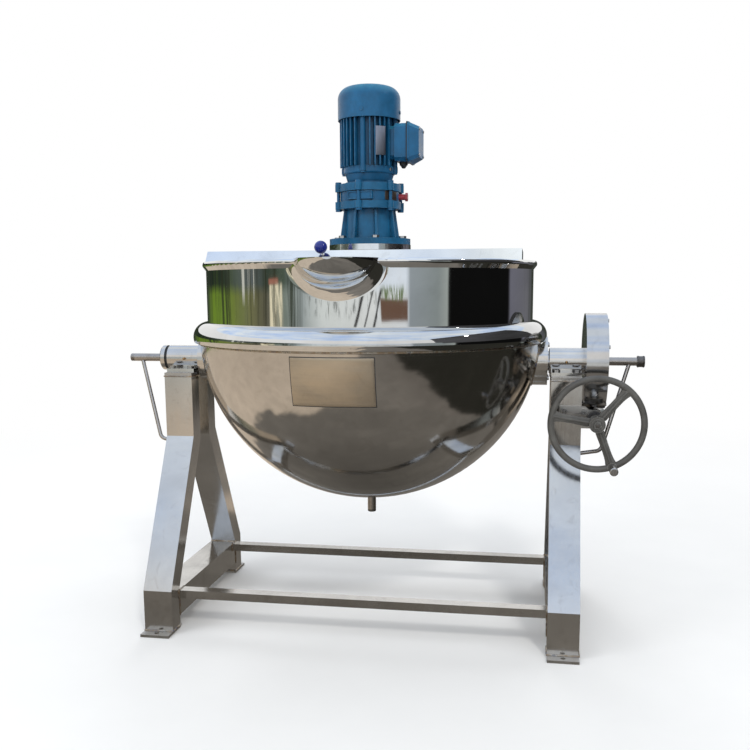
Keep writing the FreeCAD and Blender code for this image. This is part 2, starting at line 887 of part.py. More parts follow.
def make_ledges():
    """Ledges inside the rim that carry the bridge."""
    block = box(
        V(ledge_inner_x, -ledge_half_width, rim_top_z - ledge_thickness),
        V(pot_outer_radius, ledge_half_width, rim_top_z),
    )
    right = block.common(rod(pot_bore_radius + pot_wall / 2, V(0, 0, rim_base_z), V(0, 0, rim_top_z)))
    return [right, mirrored(right)]


def make_inner_pot():
    """Cooking pot with its rolled rim, cut away at the spout and at the drain."""
    centre = V(0, 0, pot_bowl_centre_z)
    bowl = bowl_section(pot_outer_radius, pot_bore_radius, pot_bowl_centre_z, pot_bowl_centre_z)
    wall = tube(pot_outer_radius, pot_bore_radius, centre, V(0, 0, rim_base_z))
    pot = fuse_all([bowl, wall, rim_section()] + make_ledges())
    drain = rod(drain_bore_radius, V(0, 0, drain_bottom_z), centre)
    return pot.cut(spout_body(0)).cut(drain)


def shoulder_centre():
    """Centre of the shoulder's arc in its section, just inside the pot wall."""
    return V(pot_outer_radius - shoulder_inset, 0, shoulder_centre_z)


def jacket_seat():
    """Filled jacket shape that the trunnion bosses sit on."""
    sphere = Part.makeSphere(jacket_radius, V(0, 0, jacket_centre_z))
    centre = shoulder_centre()
    return sphere.fuse(Part.makeTorus(centre.x, shoulder_arc_radius, V(0, 0, centre.z), Z_DIR))


def make_jacket_bowl():
    """Outer bowl of the steam space, bored for trunnions and drain."""
    bowl = bowl_section(jacket_radius, jacket_radius - jacket_wall, jacket_centre_z, jacket_top_z)
    axis_point = V(0, 0, trunnion_axis_z)
    reach = V(boss_face_x, 0, 0)
    bowl = bowl.cut(rod(trunnion_radius, axis_point - reach, axis_point + reach))
    return bowl.cut(rod(drain_radius, V(0, 0, drain_bottom_z), V(0, 0, pot_bowl_centre_z)))


def make_jacket_shoulder():
    """Rounded shoulder that closes the steam space against the pot wall."""
    centre = shoulder_centre()
    outer = shoulder_arc_radius
    inner = shoulder_arc_radius - jacket_wall
    low = math.radians(shoulder_lower_angle)
    outer_top = math.acos(shoulder_inset / outer)
    inner_top = math.acos(shoulder_inset / inner)

    def on(radius, turn):
        return centre + V(radius * math.cos(turn), 0, radius * math.sin(turn))

    bowl_top_radius = math.sqrt(jacket_radius ** 2 - (jacket_centre_z - jacket_top_z) ** 2)
    lip_high = V(bowl_top_radius + seat_gap, 0, on(outer, low).z)
    lip_low = lip_high - V(0, 0, jacket_wall)
    edges = [
        arc(on(outer, low), on(outer, (low + outer_top) / 2), on(outer, outer_top)),
        line(on(outer, outer_top), on(inner, inner_top)),
        arc(on(inner, inner_top), on(inner, (low + inner_top) / 2), on(inner, low)),
        line(on(inner, low), lip_high),
        line(lip_high, lip_low),
        line(lip_low, on(outer, low)),
    ]
    return revolved(edges)


def make_trunnion_bosses():
    """Reinforcing bosses between jacket and trunnion shafts."""
    start = on_trunnion_axis(trunnion_inner_x)
    right = tube(boss_radius, trunnion_radius, start, on_trunnion_axis(boss_face_x)).cut(jacket_seat())
    return group([right, mirrored(right)])


def boss_screw_places():
    """Screws round the right trunnion boss, on its outer face."""
    places = []
    for index in range(boss_screw_count):
        turn = 2 * math.pi * index / boss_screw_count
        side = V(0, boss_screw_pitch_radius * math.cos(turn), boss_screw_pitch_radius * math.sin(turn))
        places.append(on_trunnion_axis(boss_face_x) + side)
    return places


def wheel_key_block():
    """Key between right trunnion shaft and worm wheel."""
    top = trunnion_axis_z + trunnion_radius + key_height / 2
    half = wheel_hub_width / 2
    return box(
        V(wheel_centre_x - half, -key_width / 2, top - key_height),
        V(wheel_centre_x + half, key_width / 2, top),
    )


def make_trunnion_shafts():
    """Hollow shafts that carry the pot and let steam and condensate through."""
    inner = on_trunnion_axis(trunnion_inner_x)
    right = tube(trunnion_radius, trunnion_bore_radius, inner, on_trunnion_axis(trunnion_right_end_x))
    left = tube(trunnion_radius, trunnion_bore_radius, inner, on_trunnion_axis(trunnion_left_end_x))
    return group([right.cut(wheel_key_block()), mirrored(left)])


def wheel_section(x, twist):
    """Toothed outline of the worm wheel in the plane at x, turned by twist radians."""
    base_radius = wheel_pitch_radius * math.cos(math.radians(pressure_angle))
    half_pitch_angle = (worm_pitch / 4 - tooth_thinning) / wheel_pitch_radius
    start_involute = math.tan(math.radians(pressure_angle)) - math.radians(pressure_angle)

    def half_angle(radius):
        pressure = math.acos(min(1.0, base_radius / radius))
        return half_pitch_angle + start_involute - (math.tan(pressure) - pressure)

    radii = (wheel_root_radius, wheel_pitch_radius, wheel_pitch_radius + tooth_addendum)
    flank = [(radius, half_angle(radius)) for radius in radii]
    tooth = [(radius, -turn) for radius, turn in flank] + flank[::-1]
    points = []
    step = 2 * math.pi / wheel_teeth
    for index in range(wheel_teeth):
        centre = (index + 0.5) * step - math.pi / 2 + twist
        for radius, turn in tooth:
            side = V(0, radius * math.cos(centre + turn), radius * math.sin(centre + turn))
            points.append(on_trunnion_axis(x) + side)
    return Part.makePolygon(points + [points[0]])


def make_worm_wheel():
    """Worm wheel with helical teeth, web, hub, lightening holes and keyway."""
    half = wheel_face / 2
    twist = half * worm_lead_slope / wheel_pitch_radius
    sections = [wheel_section(wheel_centre_x - half, -twist), wheel_section(wheel_centre_x + half, twist)]
    rim_bore = wheel_root_radius - wheel_rim_thickness

    def disc(radius, width, side=ORIGIN):
        middle = on_trunnion_axis(wheel_centre_x) + side
        return rod(radius, middle - V(width / 2, 0, 0), middle + V(width / 2, 0, 0))

    rim = Part.makeLoft(sections, True, True).cut(disc(rim_bore, wheel_face))
    web = disc(rim_bore + wheel_rim_thickness / 2, wheel_web)
    wheel = fuse_all([rim, web, disc(wheel_hub_radius, wheel_hub_width)])
    wheel = wheel.cut(disc(trunnion_radius, wheel_hub_width))
    hole_pitch = (rim_bore + wheel_hub_radius) / 2
    for index in range(wheel_hole_count):
        turn = 2 * math.pi * index / wheel_hole_count
        side = V(0, hole_pitch * math.cos(turn), hole_pitch * math.sin(turn))
        wheel = wheel.cut(disc(wheel_hole_radius, wheel_web, side))
    return wheel.cut(wheel_key_block())


def make_drain_nipple():
    """Short outlet pipe from the pot through the jacket."""
    top = V(0, 0, pot_bowl_centre_z - pot_bore_radius)
    pipe = tube(drain_radius, drain_bore_radius, V(0, 0, drain_bottom_z), top)
    return pipe.cut(Part.makeSphere(pot_outer_radius, V(0, 0, pot_bowl_centre_z)))


def make_drain_plug():
    """Screwed plug with a round head that closes the outlet from below."""
    seat = V(0, 0, drain_bottom_z)
    shank = rod(drain_bore_radius, seat, seat + V(0, 0, drain_plug_length))
    head = rod(drain_radius, seat - V(0, 0, drain_plug_head), seat)
    low_edges = [edge for edge in head.Edges if edge.BoundBox.ZMax < drain_bottom_z - drain_plug_head / 2]
    return head.makeChamfer(drain_plug_chamfer, low_edges).fuse(shank)


# Bridge and stirrer drive

def bridge_prism(inset):
    """Trapezoid channel across the pot, inset for its hollow."""
    top_z = bridge_top_z - inset
    foot = bridge_foot_half_width - inset / math.sin(bridge_slope)
    top = foot - (top_z - rim_top_z) / math.tan(bridge_slope)
    half = bridge_half_length - inset
    corners = [(-foot, rim_top_z), (-top, top_z), (top, top_z), (foot, rim_top_z)]
    return prism([V(-half, y, z) for y, z in corners], V(2 * half, 0, 0))


def flange_bolt_places():
    """Bolts of the drive flange on their pitch circle."""
    step = 360 / flange_bolt_count
    angles = [flange_bolt_start + step * index for index in range(flange_bolt_count)]
    return [polar(flange_bolt_pitch_radius, angle, flange_top_z) for angle in angles]


def drill_flange(shape):
    """Bolt holes of the drive flange through one of the clamped plates."""
    grip = V(0, 0, flange_top_z - bridge_top_z + bridge_wall)
    for place in flange_bolt_places():
        shape = shape.cut(rod(flange_bolt_radius, place - grip, place))
    return shape


def knob_places():
    """Foot of the knob's stud on the sloping front of the bridge, and the ball's centre."""
    down = V(0, -math.cos(bridge_slope), -math.sin(bridge_slope))
    out = V(0, -math.sin(bridge_slope), math.cos(bridge_slope))
    foot = V(knob_x, -bridge_top_half_width, bridge_top_z) + down * knob_from_edge
    return foot, foot + out * (knob_stand_off + knob_radius)


def knob_stud():
    """Stud welded square to the sloping front, reaching to the ball's centre."""
    foot, centre = knob_places()
    inner = foot + (foot - centre).normalize() * bridge_wall
    return rod(knob_stud_radius, inner, centre)


def make_bridge():
    """Bent sheet bridge with closed ends and the welded stud of the knob."""
    shell = bridge_prism(0).cut(bridge_prism(bridge_wall))
    shell = shell.cut(rod(stirrer_shaft_radius + moving_gap, V(0, 0, rim_top_z), V(0, 0, bridge_top_z)))
    return drill_flange(shell).fuse(knob_stud().cut(bridge_prism(bridge_wall)))


def make_ball_knob():
    """Plastic ball screwed on its stud."""
    return Part.makeSphere(knob_radius, knob_places()[1]).cut(knob_stud())


def make_mounting_disc():
    """Polished disc between bridge and drive."""
    low = V(0, 0, bridge_top_z)
    return drill_flange(tube(disc_radius, stirrer_shaft_radius + moving_gap, low, V(0, 0, disc_top_z)))


def lug_places(z):
    """Lug bolts of the reducer's flanges on their pitch circle."""
    step = 360 / lug_count
    return [polar(lug_pitch_radius, lug_start + step * index, z) for index in range(lug_count)]


def drill_lugs(shape):
    """Holes of the through bolts that clamp the reducer together."""
    for place in lug_places(housing_top_z):
        shape = shape.cut(rod(housing_bolt_radius, place, V(place.x, place.y, input_flange_top_z)))
    return shape


def lugged_flange(low_z, high_z):
    """Round flange with bolt lugs."""
    shapes = [rod(ring_flange_radius, V(0, 0, low_z), V(0, 0, high_z))]
    for place in lug_places(low_z):
        shapes.append(rod(lug_radius, place, V(place.x, place.y, high_z)))
    return drill_lugs(fuse_all(shapes))


def housing_rib(angle):
    """Rib down the cone of the output housing."""
    points = [
        V(housing_head_radius / 2, -housing_rib_width / 2, flange_top_z),
        V(housing_foot_radius + housing_rib_reach, -housing_rib_width / 2, flange_top_z),
        V(housing_head_radius + housing_rib_reach / 2, -housing_rib_width / 2, housing_top_z),
        V(housing_head_radius / 2, -housing_rib_width / 2, housing_top_z),
    ]
    rib = prism(points, V(0, housing_rib_width, 0))
    rib.rotate(ORIGIN, Z_DIR, angle)
    return rib


def make_output_housing():
    """Cast output housing: foot flange, ribbed cone, lugged head and shaft bore."""
    foot = drill_flange(rod(flange_radius, V(0, 0, disc_top_z), V(0, 0, flange_top_z)))
    cone = Part.makeCone(housing_foot_radius, housing_head_radius, housing_height, V(0, 0, flange_top_z))
    step = 360 / housing_rib_count
    ribs = [housing_rib(step * (index + 0.5)) for index in range(housing_rib_count)]
    body = fuse_all([foot, cone, lugged_flange(housing_top_z, ring_low_z)] + ribs)
    bore_top = V(0, 0, stirrer_shaft_top_z + moving_gap)
    return body.cut(rod(stirrer_shaft_radius + running_gap, V(0, 0, disc_top_z), bore_top))


def pad_box(x_low, x_high, border):
    """Block of the gear ring's pad before it is turned to its place."""
    middle_z = (ring_low_z + ring_high_z) / 2
    half_width = pad_width / 2 - border
    half_height = pad_height / 2 - border
    block = box(V(x_low, -half_width, middle_z - half_height), V(x_high, half_width, middle_z + half_height))
    block.rotate(ORIGIN, Z_DIR, pad_angle)
    return block


def oil_plug_shank():
    """Round shank of the breather plug from its seat in the gear ring outwards."""
    middle_z = (ring_low_z + ring_high_z) / 2
    start = V(ring_body_radius - oil_plug_depth, 0, middle_z)
    shank = rod(oil_plug_radius, start, V(oil_plug_reach - oil_plug_head, 0, middle_z))
    shank.rotate(ORIGIN, Z_DIR, oil_plug_angle)
    return shank


def make_oil_plug():
    """Breather plug in the side of the gear ring."""
    middle_z = (ring_low_z + ring_high_z) / 2
    head_start = V(oil_plug_reach - oil_plug_head, 0, middle_z)
    head = hexagon(oil_plug_radius * oil_plug_hexagon, head_start, V(oil_plug_head, 0, 0))
    head.rotate(ORIGIN, Z_DIR, oil_plug_angle)
    return oil_plug_shank().fuse(head)


def make_gear_ring():
    """Ring housing of the reducer with its bare framed pad."""
    ring = rod(ring_body_radius, V(0, 0, ring_low_z), V(0, 0, ring_high_z))
    pad_face = ring_body_radius + pad_depth
    pad = pad_box(ring_body_radius / 2, pad_face, 0).cut(pad_box(pad_face - pad_recess, pad_face, pad_border))
    return drill_lugs(ring.fuse(pad).cut(oil_plug_shank()))


def make_input_flange():
    """Upper lugged flange of the reducer, bored for the motor shaft."""
    flange = lugged_flange(ring_high_z, input_flange_top_z)
    bore_low = V(0, 0, rotor_shaft_low_z - moving_gap)
    return flange.cut(rod(rotor_shaft_radius + moving_gap, bore_low, V(0, 0, input_flange_top_z)))


def make_housing_bolts():
    """Through bolts of the reducer with their nuts."""
    grip = input_flange_top_z - housing_top_z
    places = lug_places(input_flange_top_z)
    return group([bolt_and_nut(housing_bolt_radius, place, Z_DIR, grip) for place in places])


def make_kettle_fasteners():
    """Drive flange bolts with nuts and the cap screws of both trunnion bosses."""
    grip = flange_top_z - bridge_top_z + bridge_wall
    pieces = [bolt_and_nut(flange_bolt_radius, place, Z_DIR, grip) for place in flange_bolt_places()]
    for place in boss_screw_places():
        head = rod(boss_screw_radius, place, place + V(boss_screw_head, 0, 0))
        pieces += [head, mirrored(head)]
    return group(pieces)


# Motor

def frame_angle(index):
    """Direction of one of the motor's bolt strips."""
    return motor_turn + 360 / frame_lug_count * index


def frame_bolt_places(z):
    """Corner bolts of the motor on their pitch circle."""
    return [polar(frame_bolt_pitch_radius, frame_angle(index), z) for index in range(frame_lug_count)]


def drill_motor(shape):
    """Holes of the motor's tie bolts."""
    for place in frame_bolt_places(shield_rim_low_z):
        shape = shape.cut(rod(frame_bolt_radius, place, V(place.x, place.y, frame_top_z)))
    return shape


def make_end_shield():
    """Drive-side end shield: foot, neck, rounded shoulder and four bolt lugs."""
    low = input_flange_top_z
    foot_radius = end_shield_neck_radius + end_shield_foot_width
    foot_high = low + end_shield_foot_height
    bend_radius = end_shield_shoulder_radius - end_shield_round
    bend_z = shield_rim_low_z - end_shield_round
    turn = end_shield_round * math.sqrt(0.5)
    corners = [
        V(0, 0, low),
        V(foot_radius, 0, low),
        V(foot_radius, 0, foot_high),
        V(end_shield_neck_radius, 0, foot_high),
        V(bend_radius, 0, bend_z),
    ]
    shoulder = V(end_shield_shoulder_radius, 0, shield_rim_low_z)
    edges = [line(corners[i], corners[i + 1]) for i in range(len(corners) - 1)]
    edges.append(arc(corners[-1], V(bend_radius + turn, 0, shield_rim_low_z - turn), shoulder))
    edges.append(line(shoulder, V(shoulder.x, 0, frame_low_z)))
    edges.append(line(V(shoulder.x, 0, frame_low_z), V(0, 0, frame_low_z)))
    edges.append(line(V(0, 0, frame_low_z), corners[0]))
    shapes = [revolved(edges)]
    for place in frame_bolt_places(shield_rim_low_z):
        shapes.append(rod(frame_lug_radius, place, V(place.x, place.y, frame_low_z)))
    bore = rod(rotor_shaft_radius + running_gap, V(0, 0, low), V(0, 0, frame_low_z))
    shield = fuse_all(shapes).cut(bore)
    for place in frame_bolt_places(shield_rim_low_z):
        shield = shield.cut(rod(spot_face_radius, place - V(0, 0, spot_face_depth), place))
    return drill_motor(shield)


def fin_is_free(angle):
    """True where a fin has room beside bolt strips and the terminal pad."""
    for index in range(frame_lug_count):
        away = abs((angle - frame_angle(index) + 180) % 360 - 180)
        limit = frame_pad_half_angle if index == 1 else frame_lug_half_angle
        if away < limit:
            return False
    return True


def make_fins():
    """Cooling fins all round, with gaps at strips and pad."""
    fins = []
    for index in range(fin_count):
        angle = motor_turn + 360 / fin_count * (index + 0.5)
        if not fin_is_free(angle):
            continue
        low = V(frame_core_radius - fin_thickness, -fin_thickness / 2, frame_low_z)
        fin = box(low, V(fin_radius, fin_thickness / 2, frame_top_z))
        fin.rotate(ORIGIN, Z_DIR, angle)
        fins.append(fin)
    return fins


def terminal_rectangle(x, inset):
    """Cross-section of the terminal box with cut corners, in the plane at x."""
    y = terminal_half_width - inset
    z = terminal_half_height - inset
    corner = terminal_corner
    quarter = [(y, z - corner), (y - corner, z)]
    loop = quarter + [(-a, b) for a, b in reversed(quarter)]
    loop += [(-a, -b) for a, b in quarter] + [(a, -b) for a, b in reversed(quarter)]
    points = [V(x, a, terminal_centre_z + b) for a, b in loop]
    return Part.makePolygon(points + [points[0]])


def terminal_block(start_x, start_inset, end_x, end_inset):
    """Block between two cross-sections of the terminal box, turned to the side that it faces."""
    sections = [terminal_rectangle(start_x, start_inset), terminal_rectangle(end_x, end_inset)]
    block = Part.makeLoft(sections, True, True)
    block.rotate(ORIGIN, Z_DIR, frame_angle(1))
    return block


def make_motor_frame():
    """Finned motor body with four bolt strips and the flat pad of the terminal box."""
    shapes = [rod(frame_core_radius, V(0, 0, frame_low_z), V(0, 0, frame_top_z))] + make_fins()
    for place in frame_bolt_places(frame_low_z):
        shapes.append(rod(frame_strip_radius, place, V(place.x, place.y, frame_top_z)))
    pad_start = (frame_core_radius + frame_bore_radius) / 2
    shapes.append(terminal_block(pad_start, terminal_pad_inset, terminal_base_x, terminal_pad_inset))
    bore = rod(frame_bore_radius, V(0, 0, frame_low_z), V(0, 0, frame_top_z))
    return drill_motor(fuse_all(shapes).cut(bore))


def make_rear_shield():
    """Fan-side end shield with lugs that hold the fan cover."""
    plate_top_z = frame_top_z + rear_shield_thickness
    shapes = [rod(rear_shield_radius, V(0, 0, frame_top_z), V(0, 0, plate_top_z))]
    lug_reach = fan_cover_radius - fan_cover_wall - seat_gap
    for index in range(frame_lug_count):
        low = V(rear_shield_radius - rear_lug_width, -rear_lug_width / 2, frame_top_z)
        lug = box(low, V(lug_reach, rear_lug_width / 2, plate_top_z + rear_lug_height))
        lug.rotate(ORIGIN, Z_DIR, frame_angle(index))
        shapes.append(lug)
    bore = rod(rotor_shaft_radius + running_gap, V(0, 0, frame_top_z), V(0, 0, plate_top_z))
    return fuse_all(shapes).cut(bore)


def make_motor_bolts():
    """Tie bolts of the motor and the screws of its fan cover."""
    length = frame_top_z - shield_rim_low_z
    pieces = [bolt(frame_bolt_radius, place, -Z_DIR, length) for place in frame_bolt_places(shield_rim_low_z)]
    screw_z = frame_top_z + rear_shield_thickness + rear_lug_height / 2
    for index in range(frame_lug_count):
        seat = V(fan_cover_radius - seat_gap, 0, screw_z)
        head = rod(cover_screw_head_radius, seat, seat + V(cover_screw_head, 0, 0))
        head = head.cut(rod(fan_cover_radius, V(0, 0, fan_cover_low_z), V(0, 0, fan_cover_top_z)))
        head.rotate(ORIGIN, Z_DIR, frame_angle(index))
        pieces.append(head)
    return group(pieces)


def cover_dome(inset):
    """Filled shape of the fan cover, inset for its hollow."""
    radius = fan_cover_radius - inset
    corner = fan_cover_corner - inset
    top = fan_cover_top_z - inset
    knee = V(radius, 0, top - corner)
    crown = V(radius - corner, 0, top)
    turn = corner * math.sqrt(0.5)
    bottom = V(0, 0, fan_cover_low_z)
    edge = V(radius, 0, fan_cover_low_z)
    edges = [
        line(bottom, edge),
        line(edge, knee),
        arc(knee, V(radius - corner + turn, 0, knee.z + turn), crown),
        line(crown, V(0, 0, top)),
        line(V(0, 0, top), bottom),
    ]
    return revolved(edges)


def make_fan_cover():
    """Drawn sheet cover with a slotted air inlet in its crown."""
    slots = []
    for index in range(fan_slot_count):
        low = V(fan_slot_inner, -fan_slot_width / 2, fan_cover_top_z - 2 * fan_cover_wall)
        slot = box(low, V(fan_slot_outer, fan_slot_width / 2, fan_cover_top_z))
        slot.rotate(ORIGIN, Z_DIR, 360 / fan_slot_count * index)
        slots.append(slot)
    return cover_dome(0).cut(cover_dome(fan_cover_wall)).cut(group(slots))


def gland_axis_point(z):
    """Point on the cable gland's axis, halfway along the terminal box base."""
    return polar((terminal_base_x + terminal_joint_x) / 2, frame_angle(1), z)


def make_terminal_box():
    """Terminal box base, open towards its lid, with the gland's hole below."""
    inset = terminal_base_inset
    wall = terminal_wall
    body = terminal_block(terminal_base_x, inset, terminal_joint_x, inset)
    body = body.cut(terminal_block(terminal_base_x + wall, inset + wall, terminal_joint_x, inset + wall))
    hole = rod(gland_thread_radius, gland_axis_point(gland_face_z), gland_axis_point(terminal_centre_z))
    return body.cut(hole)


def make_terminal_lid():
    """Terminal box lid with sloping sides and a rim over the base."""
    joint = terminal_joint_x
    rim_end = joint + terminal_rim
    rim = terminal_block(joint, 0, rim_end, 0)
    crown = terminal_block(rim_end, terminal_step, terminal_face_x, terminal_face_inset)
    hollow_inset = terminal_base_inset + terminal_wall
    hollow_end = terminal_face_x - terminal_wall
    hollow = terminal_block(joint, hollow_inset, hollow_end, terminal_face_inset + terminal_wall)
    return rim.fuse(crown).cut(hollow)


def make_cable_gland():
    """Gland in the underside of the terminal box, blanked."""
    seat = gland_axis_point(gland_face_z)
    nut_height = gland_length / 2
    nut = hexagon(gland_radius * gland_hexagon, seat, V(0, 0, -nut_height))
    dome_start = seat - V(0, 0, nut_height)
    dome = Part.makeCone(gland_radius, gland_thread_radius / 2, nut_height, dome_start, -Z_DIR)
    thread = rod(gland_thread_radius, seat, seat + V(0, 0, 2 * terminal_wall))
    return fuse_all([nut, dome, thread])


# Stirrer, rotor and cooling fan

def make_stirrer_shaft():
    """Straight shaft from the reducer to the foot of the stirrer frame."""
    bottom = V(0, 0, stirrer_foot_z + stirrer_bar_thickness)
    return rod(stirrer_shaft_radius, bottom, V(0, 0, stirrer_shaft_top_z))


def make_stirrer_frame():
    """Anchor frame: bent bar along the bowl, uprights, cross bar and two hubs."""
    outer = stirrer_frame_radius
    inner = outer - stirrer_bar_width
    half = stirrer_bar_thickness / 2
    ring = tube(outer, inner, V(0, -half, pot_bowl_centre_z), V(0, half, pot_bowl_centre_z))
    above = box(V(-outer, -half, pot_bowl_centre_z), V(outer, half, pot_bowl_centre_z + outer))
    upright = box(V(inner, -half, pot_bowl_centre_z), V(outer, half, stirrer_frame_top_z))
    bar_low = stirrer_cross_bar_z - stirrer_bar_width / 2
    bar = box(V(-inner, -half, bar_low), V(inner, half, bar_low + stirrer_bar_width))
    half_hub = V(0, 0, stirrer_hub_height / 2)
    middle = V(0, 0, stirrer_cross_bar_z)
    hub = rod(stirrer_hub_radius, middle - half_hub, middle + half_hub)
    foot = rod(stirrer_hub_radius, V(0, 0, stirrer_foot_z), V(0, 0, stirrer_foot_z) + half_hub * 2)
    frame = fuse_all([ring.cut(above), upright, mirrored(upright), bar, hub, foot])
    return frame.cut(make_stirrer_shaft())


def bowl_scraper(angle):
    """Blade that follows the bowl over scraper_length, centred on an angle below the horizontal."""
    centre = V(0, stirrer_bar_thickness / 2, pot_bowl_centre_z)
    outer = pot_bore_radius - scraper_gap
    inner = stirrer_frame_radius - scraper_overlap
    ring = tube(outer, inner, centre, centre + V(0, scraper_thickness, 0))
    reach = math.degrees(scraper_length / outer) / 2
    points = [centre]
    for end in (-reach, reach):
        turn = math.radians(angle + end)
        points.append(centre + V(math.cos(turn), 0, math.sin(turn)) * (2 * pot_bore_radius))
    return ring.common(prism(points, V(0, scraper_thickness, 0)))


def make_scrapers():
    """Plastic scraper blades on both sides of the frame, just clear of the pot wall."""
    front = stirrer_bar_thickness / 2
    upper = box(
        V(stirrer_frame_radius - scraper_overlap, front, stirrer_frame_top_z - scraper_length),
        V(pot_bore_radius - scraper_gap, front + scraper_thickness, stirrer_frame_top_z),
    )
    blades = [upper] + [bowl_scraper(angle) for angle in scraper_angles]
    others = [blade.copy() for blade in blades]
    for other in others:
        other.rotate(ORIGIN, Z_DIR, 180)
    return group(blades + others)


def make_rotor():
    """Motor rotor on its shaft."""
    middle = (frame_low_z + frame_top_z) / 2
    body = rod(rotor_radius, V(0, 0, middle - rotor_length / 2), V(0, 0, middle + rotor_length / 2))
    return body.fuse(rod(rotor_shaft_radius, V(0, 0, rotor_shaft_low_z), V(0, 0, fan_low_z + fan_hub_length)))


def make_cooling_fan():
    """Fan on the rear shaft end, under its cover."""
    low = V(0, 0, fan_low_z)
    hub_top = low + V(0, 0, fan_hub_length)
    plate_radius = (fan_radius + fan_hub_radius) / 2
    shapes = [rod(fan_hub_radius, low, hub_top), rod(plate_radius, low, low + V(0, 0, fan_plate_thickness))]
    for index in range(fan_blade_count):
        blade = box(
            V(rotor_shaft_radius + fan_blade_thickness, -fan_blade_thickness / 2, fan_low_z),
            V(fan_radius, fan_blade_thickness / 2, fan_low_z + fan_blade_height),
        )
        blade.rotate(ORIGIN, Z_DIR, 360 / fan_blade_count * index)
        shapes.append(blade)
    return fuse_all(shapes).cut(rod(rotor_shaft_radius, low, hub_top))


# Handwheel and worm

def make_worm_shaft():
    """Worm with one right-hand thread on the handwheel's shaft."""
    length = worm_pitch * worm_turns
    root = worm_pitch_radius - tooth_dedendum
    foot = root - thread_embed
    tip = worm_pitch_radius + tooth_addendum
    slope = math.tan(math.radians(pressure_angle))
    half_pitch = worm_pitch / 4 - tooth_thinning
    foot_half = half_pitch + (worm_pitch_radius - foot) * slope
    tip_half = half_pitch - (tip - worm_pitch_radius) * slope
    corners = [V(foot, 0, -foot_half), V(tip, 0, -tip_half), V(tip, 0, tip_half), V(foot, 0, foot_half)]
    profile = Part.makePolygon(corners + [corners[0]])
    helix = Part.makeHelix(worm_pitch, length, worm_pitch_radius)
    thread = Part.Wire(helix).makePipeShell([profile], True, True)
    thread.translate(V(0, 0, -length / 2))
    core_half = V(0, 0, (length + worm_pitch) / 2)
    worm = rod(root, -core_half, core_half).fuse(thread)
    worm.Placement = FreeCAD.Placement(on_worm_axis(0), FreeCAD.Rotation(V(1, 1, 1), 240))
    shaft = rod(worm_shaft_radius, on_worm_axis(handwheel_hub_front_y), on_worm_axis(worm_shaft_back_y))
    return worm.fuse(shaft)


def spoke(angle):
    """Oval spoke that tapers from the hub to the rim."""
    hub_y = (handwheel_hub_front_y + handwheel_hub_back_y) / 2
    start = V((handwheel_hub_radius + worm_shaft_radius) / 2, hub_y, 0)
    end = V(handwheel_radius - handwheel_rim_radius, handwheel_rim_y, 0)
    turned = FreeCAD.Rotation(Z_DIR, end - start).multiply(FreeCAD.Rotation(Z_DIR, 90))
    sections = []
    for place, width in ((start, spoke_hub_width), (end, spoke_rim_width)):
        section = Part.Wire([Part.Ellipse(ORIGIN, width / 2, spoke_thickness / 2).toShape()])
        section.Placement = FreeCAD.Placement(place, turned)
        sections.append(section)
    shape = Part.makeLoft(sections, True, True)
    shape.rotate(ORIGIN, Y_DIR, -angle)
    shape.translate(on_worm_axis(0))
    return shape


def handle_place():
    """Centre of the revolving handle in the plane of the wheel's rim."""
    turn = math.radians(handle_angle)
    radius = handwheel_radius - handwheel_rim_radius
    return on_worm_axis(handwheel_rim_y) + V(radius * math.cos(turn), 0, radius * math.sin(turn))


def make_handwheel():
    """Cast handwheel: round rim, three tapered spokes, hub and handle boss."""
    rim_radius = handwheel_radius - handwheel_rim_radius
    front = on_worm_axis(handwheel_hub_front_y)
    back = on_worm_axis(handwheel_hub_back_y)
    shapes = [Part.makeTorus(rim_radius, handwheel_rim_radius, on_worm_axis(handwheel_rim_y), Y_DIR)]
    shapes.append(rod(handwheel_hub_radius, front, back))
    for index in range(handwheel_spokes):
        shapes.append(spoke(handle_angle + 360 / handwheel_spokes * index))
    half_boss = V(0, handle_boss_half_length, 0)
    boss_start = handle_place() + half_boss
    boss_end = handle_place() - half_boss
    shapes.append(rod(handle_boss_radius, boss_start, boss_end))
    wheel = fuse_all(shapes).cut(rod(worm_shaft_radius, front, back))
    return wheel.cut(rod(handle_pin_radius, boss_start, boss_end))


def make_handle_pin():
    """Headed pin on which the handle turns."""
    place = handle_place()
    back = place + V(0, handle_boss_half_length, 0)
    front = V(place.x, handle_start_y - handle_length - seat_gap, place.z)
    head = rod(handle_pin_head_radius, front, front - V(0, handle_pin_head, 0))
    return rod(handle_pin_radius, back, front).fuse(head)


def make_crank_handle():
    """Turned revolving handle, waisted towards the wheel and rounded at its end."""
    bore = handle_pin_radius + running_gap
    length = handle_length
    shoulder = length - handle_end_round
    turn = handle_end_round * math.sqrt(0.5)
    waist = V(handle_waist_radius, 0, 0)
    side = V((handle_waist_radius + handle_end_radius) / 2 + handle_bulge, 0, shoulder / 2)
    edge = V(handle_end_radius, 0, shoulder)
    corner = V(handle_end_radius - handle_end_round + turn, 0, shoulder + turn)
    face = V(handle_end_radius - handle_end_round, 0, length)
    edges = [
        line(V(bore, 0, 0), waist),
        arc(waist, side, edge),
        arc(edge, corner, face),
        line(face, V(bore, 0, length)),
        line(V(bore, 0, length), V(bore, 0, 0)),
    ]
    handle = revolved(edges)
    place = handle_place()
    turned = FreeCAD.Rotation(Z_DIR, -Y_DIR)
    handle.Placement = FreeCAD.Placement(V(place.x, handle_start_y, place.z), turned)
    return handle


